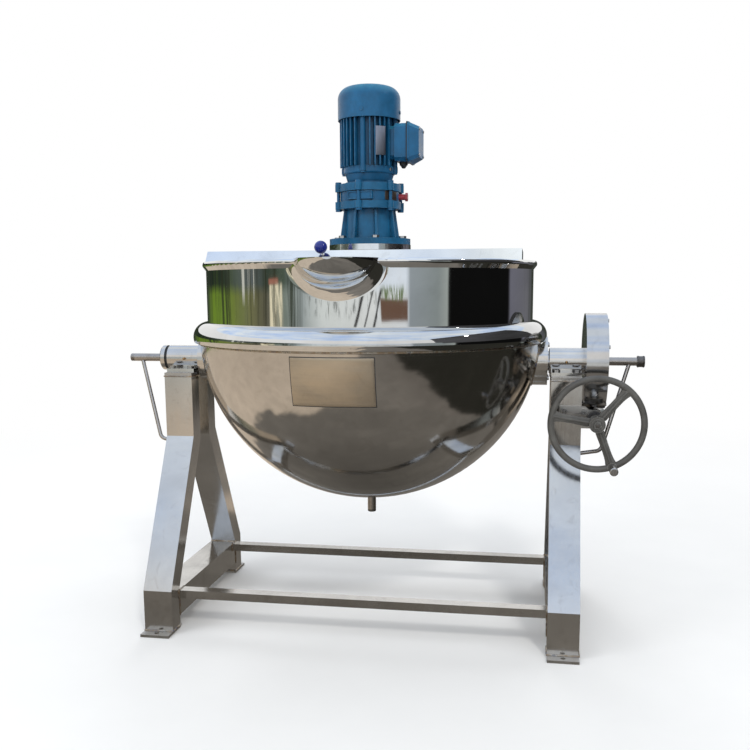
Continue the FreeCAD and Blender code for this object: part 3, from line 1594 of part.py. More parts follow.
def all_parts():
    """Every node name with its shape."""
    front_leg = make_front_leg()
    rear_leg = front_leg.mirror(ORIGIN, Y_DIR)
    return {
        "leg_front_right": strap_bolt_holes(front_leg),
        "leg_rear_right": rear_leg,
        "leg_front_left": mirrored(front_leg),
        "leg_rear_left": mirrored(rear_leg),
        "foot_plates": make_foot_plates(),
        "base_beams": make_base_beams(),
        "cross_rails": make_rails(),
        "bearing_plates": make_bearing_plates(),
        "bearing_housing_right": make_bearing_housing(casing_inner_x),
        "bearing_housing_left": mirrored(make_bearing_housing(bearing_left_end_x)),
        "bronze_bushes": make_bronze_bushes(),
        "stand_fasteners": make_stand_fasteners(),
        "grease_nipples": make_grease_nipples(),
        "gland_packing": make_gland_packing(),
        "gland_cap": make_gland_cap(),
        "condensate_pipe": make_condensate_pipe(),
        "steam_pipe": make_steam_pipe(),
        "steam_union": make_steam_union(),
        "stay_rod_left": mirrored(make_stay(stay_left_pipe_x, stay_left_bend_x, stay_left_bend_z)),
        "stay_rod_right": make_stay(stay_right_pipe_x, stay_right_bend_x, stay_right_bend_z),
        "worm_casing": make_worm_casing(),
        "worm_casing_cover": make_casing_cover(),
        "worm_brackets": make_worm_brackets(),
        "worm_bracket_strap": make_worm_strap(),
        "inner_pot": make_inner_pot(),
        "pouring_spout": make_spout(),
        "jacket_bowl": make_jacket_bowl(),
        "jacket_shoulder": make_jacket_shoulder(),
        "trunnion_bosses": make_trunnion_bosses(),
        "trunnion_shafts": make_trunnion_shafts(),
        "worm_wheel": make_worm_wheel(),
        "wheel_key": wheel_key_block(),
        "drain_nipple": make_drain_nipple(),
        "drain_plug": make_drain_plug(),
        "bridge": make_bridge(),
        "ball_knob": make_ball_knob(),
        "mounting_disc": make_mounting_disc(),
        "output_housing": make_output_housing(),
        "gear_ring": make_gear_ring(),
        "oil_plug": make_oil_plug(),
        "input_flange": make_input_flange(),
        "housing_bolts": make_housing_bolts(),
        "kettle_fasteners": make_kettle_fasteners(),
        "motor_end_shield": make_end_shield(),
        "motor_frame": make_motor_frame(),
        "motor_rear_shield": make_rear_shield(),
        "motor_bolts": make_motor_bolts(),
        "fan_cover": make_fan_cover(),
        "terminal_box": make_terminal_box(),
        "terminal_lid": make_terminal_lid(),
        "cable_gland": make_cable_gland(),
        "stirrer_shaft": make_stirrer_shaft(),
        "stirrer_frame": make_stirrer_frame(),
        "scraper_blades": make_scrapers(),
        "rotor": make_rotor(),
        "cooling_fan": make_cooling_fan(),
        "worm_shaft": make_worm_shaft(),
        "handwheel": make_handwheel(),
        "handle_pin": make_handle_pin(),
        "crank_handle": make_crank_handle(),
    }


os.makedirs("parts", exist_ok=True)
for node, shape in all_parts().items():
    shape.exportStep(f"parts/{node}.step")
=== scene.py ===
"""Looks of a tilting steam jacketed kettle with a stirrer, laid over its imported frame."""

from math import cos, pi, radians, sin, sqrt, tau

import bpy
from bpy.props import FloatProperty, FloatVectorProperty, IntProperty, PointerProperty
from mathutils import Matrix, Quaternion, Vector


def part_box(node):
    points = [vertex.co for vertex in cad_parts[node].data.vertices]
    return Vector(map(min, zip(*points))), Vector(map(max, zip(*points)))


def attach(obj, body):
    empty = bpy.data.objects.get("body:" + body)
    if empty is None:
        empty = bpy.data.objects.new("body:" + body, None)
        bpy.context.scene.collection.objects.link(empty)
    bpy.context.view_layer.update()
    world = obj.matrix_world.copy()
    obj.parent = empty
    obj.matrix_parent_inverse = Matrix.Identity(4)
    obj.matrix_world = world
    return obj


bl_info = {
    "name": "Jacketed Kettle Looks",
    "version": (1, 0, 0),
    "blender": (4, 5, 0),
    "location": "View3D > Sidebar > Kettle",
    "description": "Finishes, trim and a small studio for a tilting jacketed kettle",
    "category": "Object",
}

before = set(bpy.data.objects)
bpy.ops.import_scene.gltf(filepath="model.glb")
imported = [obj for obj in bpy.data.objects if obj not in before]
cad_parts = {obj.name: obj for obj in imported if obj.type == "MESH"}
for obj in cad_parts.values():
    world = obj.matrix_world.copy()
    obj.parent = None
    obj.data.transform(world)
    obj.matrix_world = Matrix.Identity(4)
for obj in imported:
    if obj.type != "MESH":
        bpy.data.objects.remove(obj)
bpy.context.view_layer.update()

# Radii and places of the kettle, in metres

TRUNNION_HEIGHT = 0.819
WORM_X = 0.690
WORM_HEIGHT = 0.6552
BOWL_RADIUS = 0.530
BOWL_CENTRE = 0.915
POT_INNER_RADIUS = 0.500
POT_OUTER_RADIUS = 0.5034
MOTOR_RADIUS = 0.0901
GEAR_RADIUS = 0.0911
RIM_HEIGHT = 1.120
BOSS_RADIUS = 0.0745
DRAIN_RADIUS = 0.0137
LEG_DEPTH = 0.060
FOOT_Y = 0.294
CAP_Y = 0.069
RAIL_DEPTH = 0.038
RAIL_Y = 0.249
FOOT_PLATE_TOP = 0.008
HUB_FRONT = -0.212
SPOKE_FRONT = -0.1871
BEAD_STEP = 0.006

# Turn of the terminal box in radians, and angles of the spokes in degrees

LID_TURN = radians(-4.0)
SPOKE_ANGLES = (-70.0, 50.0, 170.0)

UP = (0.0, 0.0, 1.0)
TO_FRONT = (0.0, -1.0, 0.0)
TO_RIGHT = (1.0, 0.0, 0.0)


# Settings


def tone(name, description, *default):
    """A colour that the panel offers."""
    return FloatVectorProperty(
        name=name, description=description, subtype="COLOR", min=0.0, max=1.0, default=default)


def length(name, description, default):
    """A length that the panel offers."""
    return FloatProperty(name=name, description=description, unit="LENGTH", default=default)


def power(name, description, default):
    """A lamp's power that the panel offers."""
    return FloatProperty(name=name, description=description, subtype="POWER", default=default)


class KETTLE_PG_colours(bpy.types.PropertyGroup):
    """Colours of the finishes."""

    polished: tone(
        "Polished stainless", "Tone of the mirror polished pot wall, shoulder and bridge", 0.74, 0.74, 0.73)
    bowl: tone("Bowl", "Tone of the satin polished jacket bowl", 0.60, 0.58, 0.55)
    frame_steel: tone("Stand", "Tone of the brushed box sections of the stand", 0.62, 0.60, 0.57)
    pipe: tone("Pipes", "Tone of the pipes and stay rods", 0.42, 0.39, 0.36)
    machined: tone("Turned steel", "Tone of shafts, pins and bolts", 0.52, 0.51, 0.50)
    bronze: tone("Bronze", "Tone of the bearing bushes", 0.55, 0.33, 0.14)
    iron: tone("Cast iron", "Tone of the painted handwheel", 0.105, 0.101, 0.092)
    casing: tone("Worm casing", "Tone of the steel drum round the worm gear", 0.54, 0.53, 0.52)
    motor: tone("Motor enamel", "Blue enamel of the motor and the gear unit", 0.008, 0.092, 0.205)
    flange: tone("Flange enamel", "Paler blue enamel of the lower flanges", 0.009, 0.105, 0.220)
    plug: tone("Oil plug", "Red of the oil plug", 0.330, 0.030, 0.040)
    knob: tone("Ball knob", "Blue of the ball knob", 0.020, 0.032, 0.240)
    scraper: tone("Scrapers", "White of the scraper blades", 0.72, 0.71, 0.67)
    black: tone(
        "Rubber and packing", "Black of the fan, cable gland, gasket and packing", 0.020, 0.020, 0.021)
    blank: tone("Bare plates", "Tone of the bare plate on the bowl", 0.58, 0.50, 0.39)
    silver: tone("Motor plate", "Tone of the bare plate on the motor's fins", 0.31, 0.33, 0.39)
    # The dark plate on the gear ring paints shade, not a colour of the ring.
    patch: tone("Gear gap shade", "Tone of the dark plate on the gear ring", 0.048, 0.032, 0.022)


class KETTLE_PG_trim(bpy.types.PropertyGroup):
    """Sizes of the trim that the scene adds."""

    plate_width: length("Bowl plate width", "Width of the bare plate on the bowl", 0.225)
    plate_height: length("Bowl plate height", "Height of the bare plate on the bowl", 0.130)
    plate_thickness: length("Plate thickness", "Thickness of the bare plates", 0.0012)
    motor_plate_height: length("Motor plate height", "Height of the bare plate on the motor's fins", 0.083)
    bead_radius: length("Weld bead", "Half width of the weld beads", 0.0026)
    bead_sides: IntProperty(
        name="Bead sides", description="Sides of a weld bead's section", min=6, max=16, default=8)
    round_courses: IntProperty(
        name="Turned sides", description="Sides of the small turned pieces", min=16, max=96, default=40)
    thread_turns: IntProperty(
        name="Thread turns", description="Turns cut on the end of the condensate pipe",
        min=3, max=12, default=7)


class KETTLE_PG_stage(bpy.types.PropertyGroup):
    """Sizes and levels of the studio."""

    floor_size: length("Floor", "Width of the floor", 60.0)
    card_distance: length("Card distance", "Distance of the ring of reflection cards", 7.0)
    card_height: length("Card height", "Height of the ring of reflection cards", 1.9)
    key_power: power("Key lamp", "Power of the key lamp", 110.0)
    fill_power: power("Fill lamp", "Power of the fill lamp", 70.0)
    glint_power: power("Glint lamp", "Power of the small lamp that the polished steel mirrors", 9.0)
    sky: FloatProperty(name="Sky level", description="Strength of the plain sky", min=0.0, default=0.85)


def colours():
    return bpy.context.scene.kettle_colours


def trim():
    return bpy.context.scene.kettle_trim


def stage_settings():
    return bpy.context.scene.kettle_stage


# Patterns


def fed(node, inputs):
    """Feeds a node's inputs, each from a pattern or with a colour, a vector or a number."""
    for key, value in inputs.items():
        socket = node.inputs[key]
        if isinstance(value, bpy.types.NodeSocket):
            node.id_data.links.new(value, socket)
        elif isinstance(value, tuple) and len(value) < len(socket.default_value):
            socket.default_value = (*value, 1.0)
        else:
            socket.default_value = value
    return node


def added(tree, kind, inputs, **settings):
    """Adds a node to a tree, sets it and feeds its inputs."""
    node = tree.nodes.new("ShaderNode" + kind)
    for key, value in settings.items():
        setattr(node, key, value)
    return fed(node, inputs)


def joined(kind, inputs, **settings):
    """Adds a node to the tree of the patterns that feed it."""
    tree = next(value.id_data for value in inputs.values() if isinstance(value, bpy.types.NodeSocket))
    return added(tree, kind, inputs, **settings)


def object_place(tree):
    """Object coordinates."""
    return added(tree, "TexCoord", {}).outputs["Object"]


def parted(vector):
    """A vector's X, Y and Z."""
    return joined("SeparateXYZ", {"Vector": vector}).outputs


def distance(place):
    """How far a place lies from the middle."""
    return joined("VectorMath", {0: place}, operation="LENGTH").outputs["Value"]


def stretched(place, scale):
    """Object coordinates stretched by a scale along each axis."""
    return joined("Mapping", {"Vector": place, "Scale": scale}).outputs["Vector"]


def clouds(vector, scale, detail=3.0, roughness=0.5, distortion=0.0):
    """A noise pattern's value, from 0 to 1."""
    return joined("TexNoise", {
        "Vector": vector, "Scale": scale, "Detail": detail, "Roughness": roughness,
        "Distortion": distortion}).outputs["Fac"]


def spread(value, low, high, from_low=0.3, from_high=0.7):
    """Carries a pattern's usual span to the span that a socket wants."""
    return joined("MapRange", {
        "Value": value, "From Min": from_low, "From Max": from_high,
        "To Min": low, "To Max": high}).outputs["Result"]


def tones(value, stops):
    """Turns a value into colours through stops of place and colour."""
    ramp = joined("ValToRGB", {"Fac": value})
    band = ramp.color_ramp
    while len(band.elements) < len(stops):
        band.elements.new(0.5)
    for element, (place, colour) in zip(band.elements, stops):
        element.position = place
    for element, (place, colour) in zip(band.elements, stops):
        element.color = (*colour, 1.0)
    return ramp.outputs["Color"]


def shaded(value, tint, low, middle, high, dark, pale):
    """Carries a value from a darker tint at low through the tint itself to a paler one at high."""
    return tones(value, ((low, shade(tint, dark)), (middle, tuple(tint)), (high, shade(tint, pale))))


def blended(value, first, second):
    """Lays a second colour over a first where the value is high."""
    return joined("Mix", {"Factor": value, "A": first, "B": second}, data_type="RGBA").outputs["Result"]


def relief(height, depth, over=None):
    """A bump from a height pattern, laid over another bump where one is given."""
    bump = {"Height": height, "Distance": depth, "Strength": 1.0}
    if over is not None:
        bump["Normal"] = over
    return joined("Bump", bump).outputs["Normal"]


def worked(operation, first, second):
    """A step of arithmetic between a pattern and a pattern or number, held between 0 and 1."""
    return joined("Math", {0: first, 1: second}, operation=operation, use_clamp=True).outputs["Value"]


def both(first, second):
    """High where both patterns are high, or a pattern made weaker by a number."""
    return worked("MULTIPLY", first, second)


def between(value, low, high, edge):
    """High where a value lies between two bounds."""
    over = spread(value, 0.0, 1.0, low - edge, low + edge)
    return both(over, spread(value, 1.0, 0.0, high - edge, high + edge))


def rubbed_edges(tree, reach):
    """High along outer edges, found by rounding the surface within a reach."""
    rounded = added(tree, "Bevel", {"Radius": reach}, samples=4).outputs["Normal"]
    plain = added(tree, "NewGeometry", {}).outputs["Normal"]
    alike = joined("VectorMath", {0: rounded, 1: plain}, operation="DOT_PRODUCT")
    return spread(alike.outputs["Value"], 1.0, 0.0, 0.80, 0.98)


def upward(tree):
    """How far a surface faces up, from 0 to 1."""
    facing = added(tree, "NewGeometry", {}).outputs["Normal"]
    return spread(parted(facing)["Z"], 0.0, 1.0, 0.2, 0.95)


def crevices(tree, reach):
    """High in the corners that ambient occlusion finds: painted shade where light is blocked, with the
    grease and grime that settle there.
    """
    near = added(tree, "AmbientOcclusion", {"Distance": reach}, samples=6)
    return spread(near.outputs["AO"], 1.0, 0.0, 0.25, 0.80)


def shade(colour, factor):
    """A colour made darker or paler by a factor."""
    return tuple(min(1.0, part * factor) for part in colour)


# Finishes


def new_finish(name):
    """Begins a node material and gives it with its shader and its Object coordinates."""
    material = bpy.data.materials.new(name)
    material.use_nodes = True
    tree = material.node_tree
    return material, tree.nodes["Principled BSDF"], object_place(tree)


def steel(name, tint, roughness, grain, grain_depth, wave, stain):
    """Stainless steel with drifting tone, grain drawn out along the work, smudges and a slow wave."""
    material, shader, place = new_finish(name)
    base = shaded(clouds(place, 4.0, 4.0, 0.6, 0.4), tint, 0.30, 0.52, 0.70, 0.86, 1.12)
    marks = spread(clouds(place, 17.0, 6.0, 0.7, 1.2), 0.0, 1.0, 0.55, 0.75)
    base = blended(both(marks, stain), base, (0.24, 0.19, 0.14))
    lines = clouds(stretched(place, grain), 1.0, 3.0, 0.65)
    smudge = spread(clouds(place, 9.0, 4.0, 0.6, 0.8), 0.0, roughness * 0.6, 0.45, 0.75)
    gloss = worked("ADD", spread(lines, roughness * 0.75, roughness * 1.3), smudge)
    normal = relief(lines, grain_depth)
    if wave:
        normal = relief(clouds(place, 3.1, 2.0, 0.4, 0.3), wave, normal)
    fed(shader, {"Base Color": base, "Metallic": 1.0, "Roughness": gloss, "Normal": normal})
    return material


def enamel(name, tint, roughness=0.32):
    """Sprayed enamel over a casting: grit, painted shade with grease in the corners, a paler painted top
    light with dirt on upper faces, and rubbed edges painted pale as wear and edge highlight.
    """
    material, shader, place = new_finish(name)
    tree = material.node_tree
    drift = clouds(place, 14.0, 4.0, 0.6)
    base = shaded(drift, tint, 0.28, 0.55, 0.75, 0.68, 1.30)
    # Painted top light with settled dirt: faces that look up are painted a paler teal and made rougher.
    dust = both(upward(tree), spread(clouds(place, 38.0, 5.0), 0.15, 0.60))
    base = blended(dust, base, (0.045, 0.300, 0.420))
    # Wear and painted edge highlight: outer edges are painted a pale blue.
    chips = spread(clouds(place, 60.0, 4.0), 0.0, 0.6, 0.45, 0.65)
    base = blended(both(rubbed_edges(tree, 0.0022), chips), base, (0.16, 0.32, 0.44))
    # Painted shade with grime: the enamel turns a dark blue in corners and recesses.
    base = blended(both(crevices(tree, 0.012), 0.85), base, (0.004, 0.014, 0.028))
    gloss = spread(drift, roughness * 0.8, roughness * 1.3)
    gloss = worked("ADD", gloss, spread(dust, 0.0, 0.25, 0.0, 0.5))
    grit = relief(clouds(place, 420.0, 3.0, 0.7), 0.00035)
    fed(shader, {
        "Base Color": base, "Roughness": gloss, "Normal": grit,
        "Specular IOR Level": 0.30, "Coat Weight": 0.07, "Coat Roughness": 0.25})
    return material


def casting(name, tint, metallic=0.25, roughness=0.46):
    """Painted cast iron with sand grain, handled bright along its edges."""
    material, shader, place = new_finish(name)
    tree = material.node_tree
    drift = clouds(place, 11.0, 5.0, 0.65, 0.4)
    base = shaded(drift, tint, 0.30, 0.52, 0.74, 0.70, 1.45)
    handled = spread(clouds(place, 45.0, 4.0), 0.1, 0.9, 0.4, 0.65)
    base = blended(both(rubbed_edges(tree, 0.003), handled), base, (0.36, 0.35, 0.33))
    gloss = spread(drift, roughness * 0.8, roughness * 1.3)
    sand = relief(clouds(place, 300.0, 4.0, 0.7), 0.0005)
    fed(shader, {"Base Color": base, "Metallic": metallic, "Roughness": gloss, "Normal": sand})
    return material


def moulded(name, tint, roughness=0.3, grain=500.0):
    """Moulded plastic or rubber with a fine grain and a little handling grease."""
    material, shader, place = new_finish(name)
    drift = clouds(place, 22.0, 4.0, 0.6)
    base = tones(drift, ((0.30, shade(tint, 0.80)), (0.70, shade(tint, 1.20))))
    gloss = spread(drift, roughness * 0.75, roughness * 1.4)
    pores = relief(clouds(place, grain, 2.0), 0.0001)
    fed(shader, {"Base Color": base, "Roughness": gloss, "Normal": pores})
    return material


def heat_tint(name):
    """Weld metal that ran straw, brown and blue beside its seam, with ripples."""
    material, shader, place = new_finish(name)
    drift = clouds(place, 45.0, 4.0, 0.6)
    base = tones(drift, (
        (0.28, (0.30, 0.28, 0.27)), (0.44, (0.50, 0.45, 0.38)),
        (0.56, (0.40, 0.30, 0.20)), (0.70, (0.28, 0.30, 0.38))))
    fed(shader, {
        "Base Color": base, "Metallic": 1.0, "Roughness": spread(drift, 0.22, 0.45),
        "Normal": relief(clouds(place, 320.0, 3.0), 0.0006)})
    return material


FINISHES = {}


def make_finishes():
    """Every finish that a CAD node or an added piece takes."""
    tint = colours()
    level = (2.2, 2.2, 260.0)
    upright = (210.0, 210.0, 7.0)
    across = (6.0, 190.0, 190.0)
    along = (190.0, 6.0, 190.0)
    turned = (420.0, 14.0, 14.0)
    rolled = (12.0, 60.0, 60.0)
    fine = (160.0, 160.0, 160.0)
    polish = tint.polished
    stand = tint.frame_steel
    FINISHES.update({
        "pot wall": steel("pot_wall_polish", polish, 0.030, level, 0.000002, 0.0020, 0.08),
        # The shoulder takes the pot wall's steel made a tenth darker: painted shade for the dark reflections
        # that cross it.
        "shoulder": steel("shoulder_polish", shade(polish, 0.90), 0.035, level, 0.000002, 0.0024, 0.08),
        "spout": steel("spout_polish", shade(polish, 0.88), 0.050, fine, 0.000003, 0.0030, 0.15),
        "bridge": steel("bridge_polish", shade(polish, 1.05), 0.090, across, 0.00002, 0.0015, 0.15),
        "bowl": steel("bowl_satin", tint.bowl, 0.095, level, 0.00002, 0.0016, 0.14),
        "boss": steel("boss_satin", shade(tint.bowl, 1.05), 0.120, turned, 0.00002, 0.0008, 0.25),
        "leg": steel("leg_brush", stand, 0.150, upright, 0.00002, 0.0012, 0.22),
        "rail": steel("rail_brush", shade(stand, 0.96), 0.150, across, 0.00002, 0.0008, 0.22),
        "beam": steel("beam_brush", shade(stand, 0.98), 0.140, along, 0.00002, 0.0010, 0.22),
        "plate": steel("plate_mill", shade(stand, 0.88), 0.300, fine, 0.00006, 0.0, 0.50),
        "pipe": steel("pipe_pickled", tint.pipe, 0.260, turned, 0.00005, 0.0, 0.55),
        "rod": steel("rod_drawn", shade(tint.pipe, 1.15), 0.240, upright, 0.00004, 0.0, 0.35),
        "turned": steel("turned_steel", tint.machined, 0.170, turned, 0.00005, 0.0, 0.20),
        "bolts": steel("bolt_steel", shade(tint.machined, 0.92), 0.260, fine, 0.00008, 0.0, 0.35),
        "bronze": steel("bush_bronze", tint.bronze, 0.280, turned, 0.00005, 0.0, 0.30),
        "union": steel("union_steel", shade(tint.pipe, 0.45), 0.380, fine, 0.00010, 0.0, 0.50),
        "drum": steel("drum_brush", tint.casing, 0.130, rolled, 0.00002, 0.0012, 0.20),
        "stirrer": steel("stirrer_satin", shade(polish, 0.90), 0.200, upright, 0.00004, 0.0, 0.20),
        "handwheel": casting("handwheel_iron", tint.iron),
        "gear iron": casting("gear_iron", shade(tint.iron, 1.3), 0.7, 0.40),
        "motor": enamel("motor_enamel", tint.motor),
        "gear unit": enamel("gear_unit_enamel", shade(tint.motor, 1.05), 0.30),
        "flange": enamel("flange_enamel", tint.flange, 0.30),
        "plug": moulded("plug_enamel", tint.plug, 0.30),
        "knob": moulded("knob_gloss", tint.knob, 0.12, 260.0),
        "scraper": moulded("scraper_plastic", tint.scraper, 0.42),
        "black": moulded("black_rubber", tint.black, 0.50),
        "blank": steel("blank_plate", tint.blank, 0.440, (8.0, 8.0, 120.0), 0.00004, 0.0, 0.18),
        "silver": steel("motor_plate_metal", tint.silver, 0.420, (150.0, 150.0, 12.0), 0.00006, 0.0, 0.35),
        # Painted shade: the dark plate on the gear ring.
        "patch": casting("gear_patch_metal", tint.patch, 0.30, 0.50),
        "seal": moulded("seal_rubber", shade(tint.black, 1.3), 0.38),
        "weld": heat_tint("weld_metal"),
    })


NODE_FINISHES = {
    "leg": ("leg_front_left", "leg_front_right", "leg_rear_left", "leg_rear_right"),
    "plate": ("foot_plates", "bearing_plates", "worm_brackets", "worm_bracket_strap"),
    "beam": ("base_beams",),
    "rail": ("cross_rails",),
    "boss": ("bearing_housing_left", "bearing_housing_right", "trunnion_bosses", "gland_cap"),
    "bronze": ("bronze_bushes", "grease_nipples"),
    "bolts": ("stand_fasteners", "kettle_fasteners"),
    "black": ("gland_packing", "cable_gland", "cooling_fan"),
    "pipe": ("condensate_pipe", "steam_pipe", "drain_nipple"),
    "union": ("steam_union", "drain_plug"),
    "rod": ("stay_rod_left", "stay_rod_right"),
    "drum": ("worm_casing", "worm_casing_cover"),
    "pot wall": ("inner_pot",),
    "spout": ("pouring_spout",),
    "shoulder": ("jacket_shoulder",),
    "bowl": ("jacket_bowl",),
    "bridge": ("bridge", "mounting_disc"),
    "turned": ("trunnion_shafts", "wheel_key", "worm_shaft", "handle_pin", "crank_handle", "rotor"),
    "gear iron": ("worm_wheel",),
    "handwheel": ("handwheel",),
    "knob": ("ball_knob",),
    "flange": ("output_housing", "input_flange"),
    "gear unit": ("gear_ring",),
    "motor": (
        "motor_end_shield", "motor_frame", "motor_rear_shield", "fan_cover",
        "terminal_box", "terminal_lid", "housing_bolts", "motor_bolts"),
    "plug": ("oil_plug",),
    "stirrer": ("stirrer_shaft", "stirrer_frame"),
    "scraper": ("scraper_blades",),
}


class KETTLE_OT_finishes(bpy.types.Operator):
    """Makes the finishes and lays them on the CAD nodes"""

    bl_idname = "kettle.finishes"
    bl_label = "Finishes of the Frame"

    def execute(self, context):
        make_finishes()
        for finish, names in NODE_FINISHES.items():
            for name in names:
                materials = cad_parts[name].data.materials
                materials.clear()
                materials.append(FINISHES[finish])
        return {"FINISHED"}


# Modelling


def nothing_selected():
    """Leaves nothing selected, so that an operator acts on the next piece alone."""
    bpy.ops.object.select_all(action="DESELECT")


def fixed():
    """Puts the active piece's place, turn and scale into its mesh."""
    bpy.ops.object.transform_apply(location=True, rotation=True, scale=True)


def settled(name, body, finish, smooth=35.0):
    """Puts the active piece's place into its mesh, smooths, names and dresses it and lets it ride."""
    piece = bpy.context.object
    fixed()
    bpy.ops.object.shade_smooth_by_angle(angle=radians(smooth))
    piece.name = name
    piece.data.name = name
    piece.data.materials.clear()
    piece.data.materials.append(FINISHES[finish])
    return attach(piece, body)


def modified(kind, **settings):
    """Adds a modifier to the active piece, sets it and applies it."""
    bpy.ops.object.modifier_add(type=kind)
    modifier = bpy.context.object.modifiers[-1]
    for key, value in settings.items():
        setattr(modifier, key, value)
    bpy.ops.object.modifier_apply(modifier=modifier.name)


def thickened(thickness):
    """Gives the active sheet its thickness and breaks its edges."""
    modified("SOLIDIFY", thickness=thickness, offset=1.0)
    modified("BEVEL", width=thickness * 0.3, segments=2)


def shaping():
    """Goes into edit mode with all of the active piece selected."""
    bpy.ops.object.mode_set(mode="EDIT")
    bpy.ops.mesh.select_all(action="SELECT")


def shaped(doubles=0.000002):
    """Closes the active piece's seams, turns its faces outwards and leaves edit mode."""
    bpy.ops.mesh.select_all(action="SELECT")
    bpy.ops.mesh.remove_doubles(threshold=doubles)
    bpy.ops.mesh.normals_make_consistent(inside=False)
    bpy.ops.object.mode_set(mode="OBJECT")


def chosen(kind, wanted):
    """Goes into edit mode with only the active piece's wanted faces or edges selected."""
    bpy.ops.object.mode_set(mode="EDIT")
    bpy.ops.mesh.select_mode(type=kind)
    bpy.ops.mesh.select_all(action="DESELECT")
    bpy.ops.object.mode_set(mode="OBJECT")
    mesh = bpy.context.object.data
    for part in mesh.polygons if kind == "FACE" else mesh.edges:
        part.select = wanted(part)
    bpy.ops.object.mode_set(mode="EDIT")


def drawn(sides, courses, fill="NGON"):
    """A piece on the Z axis, drawn from a disc or an open circle through courses of radius and height."""
    nothing_selected()
    radius, height = courses[0]
    bpy.ops.mesh.primitive_circle_add(
        vertices=sides, radius=radius, fill_type=fill, location=(0.0, 0.0, height))
    fixed()
    shaping()
    for wide, high in courses[1:]:
        bpy.ops.mesh.extrude_region_move(TRANSFORM_OT_translate={"value": (0.0, 0.0, high - height)})
        bpy.ops.transform.resize(
            value=(wide / radius, wide / radius, 1.0), center_override=(0.0, 0.0, high))
        radius, height = wide, high
    shaped()


def ring(sides, profile):
    """A ring on the Z axis, its closed profile of radius and height drawn out course by course."""
    drawn(sides, (*profile, profile[0]), "NOTHING")


def stood(place, direction, turn=0.0):
    """Stands the active piece at a place with its Z axis along a direction."""
    piece = bpy.context.object
    piece.rotation_mode = "QUATERNION"
    aim = Vector(direction).to_track_quat("Z", "Y")
    piece.rotation_quaternion = aim @ Quaternion(UP, turn)
    piece.location = place


def repeated(name, stands, body, finish):
    """Copies the active piece to each stand of place and direction, each with its own mesh."""
    model = bpy.context.object
    for index, (place, direction) in enumerate(stands):
        nothing_selected()
        model.select_set(True)
        bpy.context.view_layer.objects.active = model
        if index + 1 < len(stands):
            bpy.ops.object.duplicate()
        stood(place, direction)
        settled(f"{name}_{index + 1}", body, finish)


def ripples(strength):
    """Roughens the active bead as a welder's ripples do."""
    texture = bpy.data.textures.get("weld_ripples")
    if texture is None:
        texture = bpy.data.textures.new("weld_ripples", "CLOUDS")
        texture.noise_scale = 0.004
    modified("DISPLACE", texture=texture, texture_coords="LOCAL", strength=strength, mid_level=0.5)


def ring_bead(name, height, radius, size, sides):
    """A weld bead laid round the kettle's axis at a height."""
    count = trim().bead_sides
    turns = [tau * step / count for step in range(count)]
    ring(sides, [(radius + size * cos(turn), size * sin(turn)) for turn in turns])
    ripples(size * 0.5)
    stood((0.0, 0.0, height), UP)
    settled(name, "kettle", "weld", 60.0)


def path_bead(name, points, size, body):
    """A weld bead laid along closed points, drawn as a round curve and made a mesh."""
    nothing_selected()
    bpy.ops.curve.primitive_nurbs_path_add()
    path = bpy.context.object.data
    path.splines.clear()
    line = path.splines.new("POLY")
    line.points.add(len(points) - 1)
    for point, place in zip(line.points, points):
        point.co = (*place, 1.0)
    line.use_cyclic_u = True
    path.bevel_depth = size
    path.bevel_resolution = max(1, trim().bead_sides // 4 - 1)
    path.use_fill_caps = True
    bpy.ops.object.convert(target="MESH")
    shaping()
    shaped(0.00001)
    ripples(size * 0.5)
    settled(name, body, "weld", 60.0)


def rectangle(middle, first, second):
    """Points round a rectangle, given its middle and the vectors to two sides."""
    middle, first, second = Vector(middle), Vector(first), Vector(second)
    low, high = middle - second, middle + second
    corners = [low - first, low + first, high + first, high - first]
    points = []
    for start, end in zip(corners, corners[1:] + corners[:1]):
        count = max(2, round((end - start).length / BEAD_STEP))
        points += [start.lerp(end, index / count) for index in range(count)]
    return points


def curved_plate(name, radius, angle, half_angle, low, high, finish):
    """A thin plate bent round the Z axis, cut out of a drum at an angle in degrees."""
    nothing_selected()
    bpy.ops.mesh.primitive_cylinder_add(
        vertices=180, radius=radius, depth=high - low, end_fill_type="NOTHING",
        location=(0.0, 0.0, (low + high) / 2))
    fixed()
    turn = radians(angle)
    middle = Vector((cos(turn), sin(turn)))
    limit = cos(radians(half_angle))
    chosen("FACE", lambda face: face.center.xy.normalized().dot(middle) < limit)
    bpy.ops.mesh.delete(type="FACE")
    bpy.ops.object.mode_set(mode="OBJECT")
    thickened(trim().plate_thickness)
    settled(name, "kettle", finish)


class KETTLE_OT_bowl_plate(bpy.types.Operator):
    """Bare plate on the front of the bowl, over a slightly wider dark sheet that paints its shadow line"""

    bl_idname = "kettle.bowl_plate"
    bl_label = "Bowl Plate"

    def execute(self, context):
        sizes = trim()
        middle = (-0.0105, -0.60, 0.800)
        for name, finish, grow, lift, thick in (
                # Painted shadow: a dark sheet a little wider than the plate gives it a dark outline.
                ("bowl_plate_seam", "seal", 0.0022, 0.0002, 0.0008),
                ("bowl_plate", "blank", 0.0, 0.0004, sizes.plate_thickness)):
            nothing_selected()
            bpy.ops.mesh.primitive_grid_add(
                x_subdivisions=30, y_subdivisions=18, size=1.0, location=middle,
                rotation=(radians(90.0), 0.0, 0.0))
            context.object.scale = (sizes.plate_width + 2 * grow, sizes.plate_height + 2 * grow, 1.0)
            fixed()
            modified("SHRINKWRAP", target=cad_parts["jacket_bowl"], wrap_method="PROJECT",
                     use_project_x=False, use_project_y=True, use_negative_direction=True,
                     use_positive_direction=True, offset=lift)
            thickened(thick)
            settled(name, "kettle", finish)
        return {"FINISHED"}


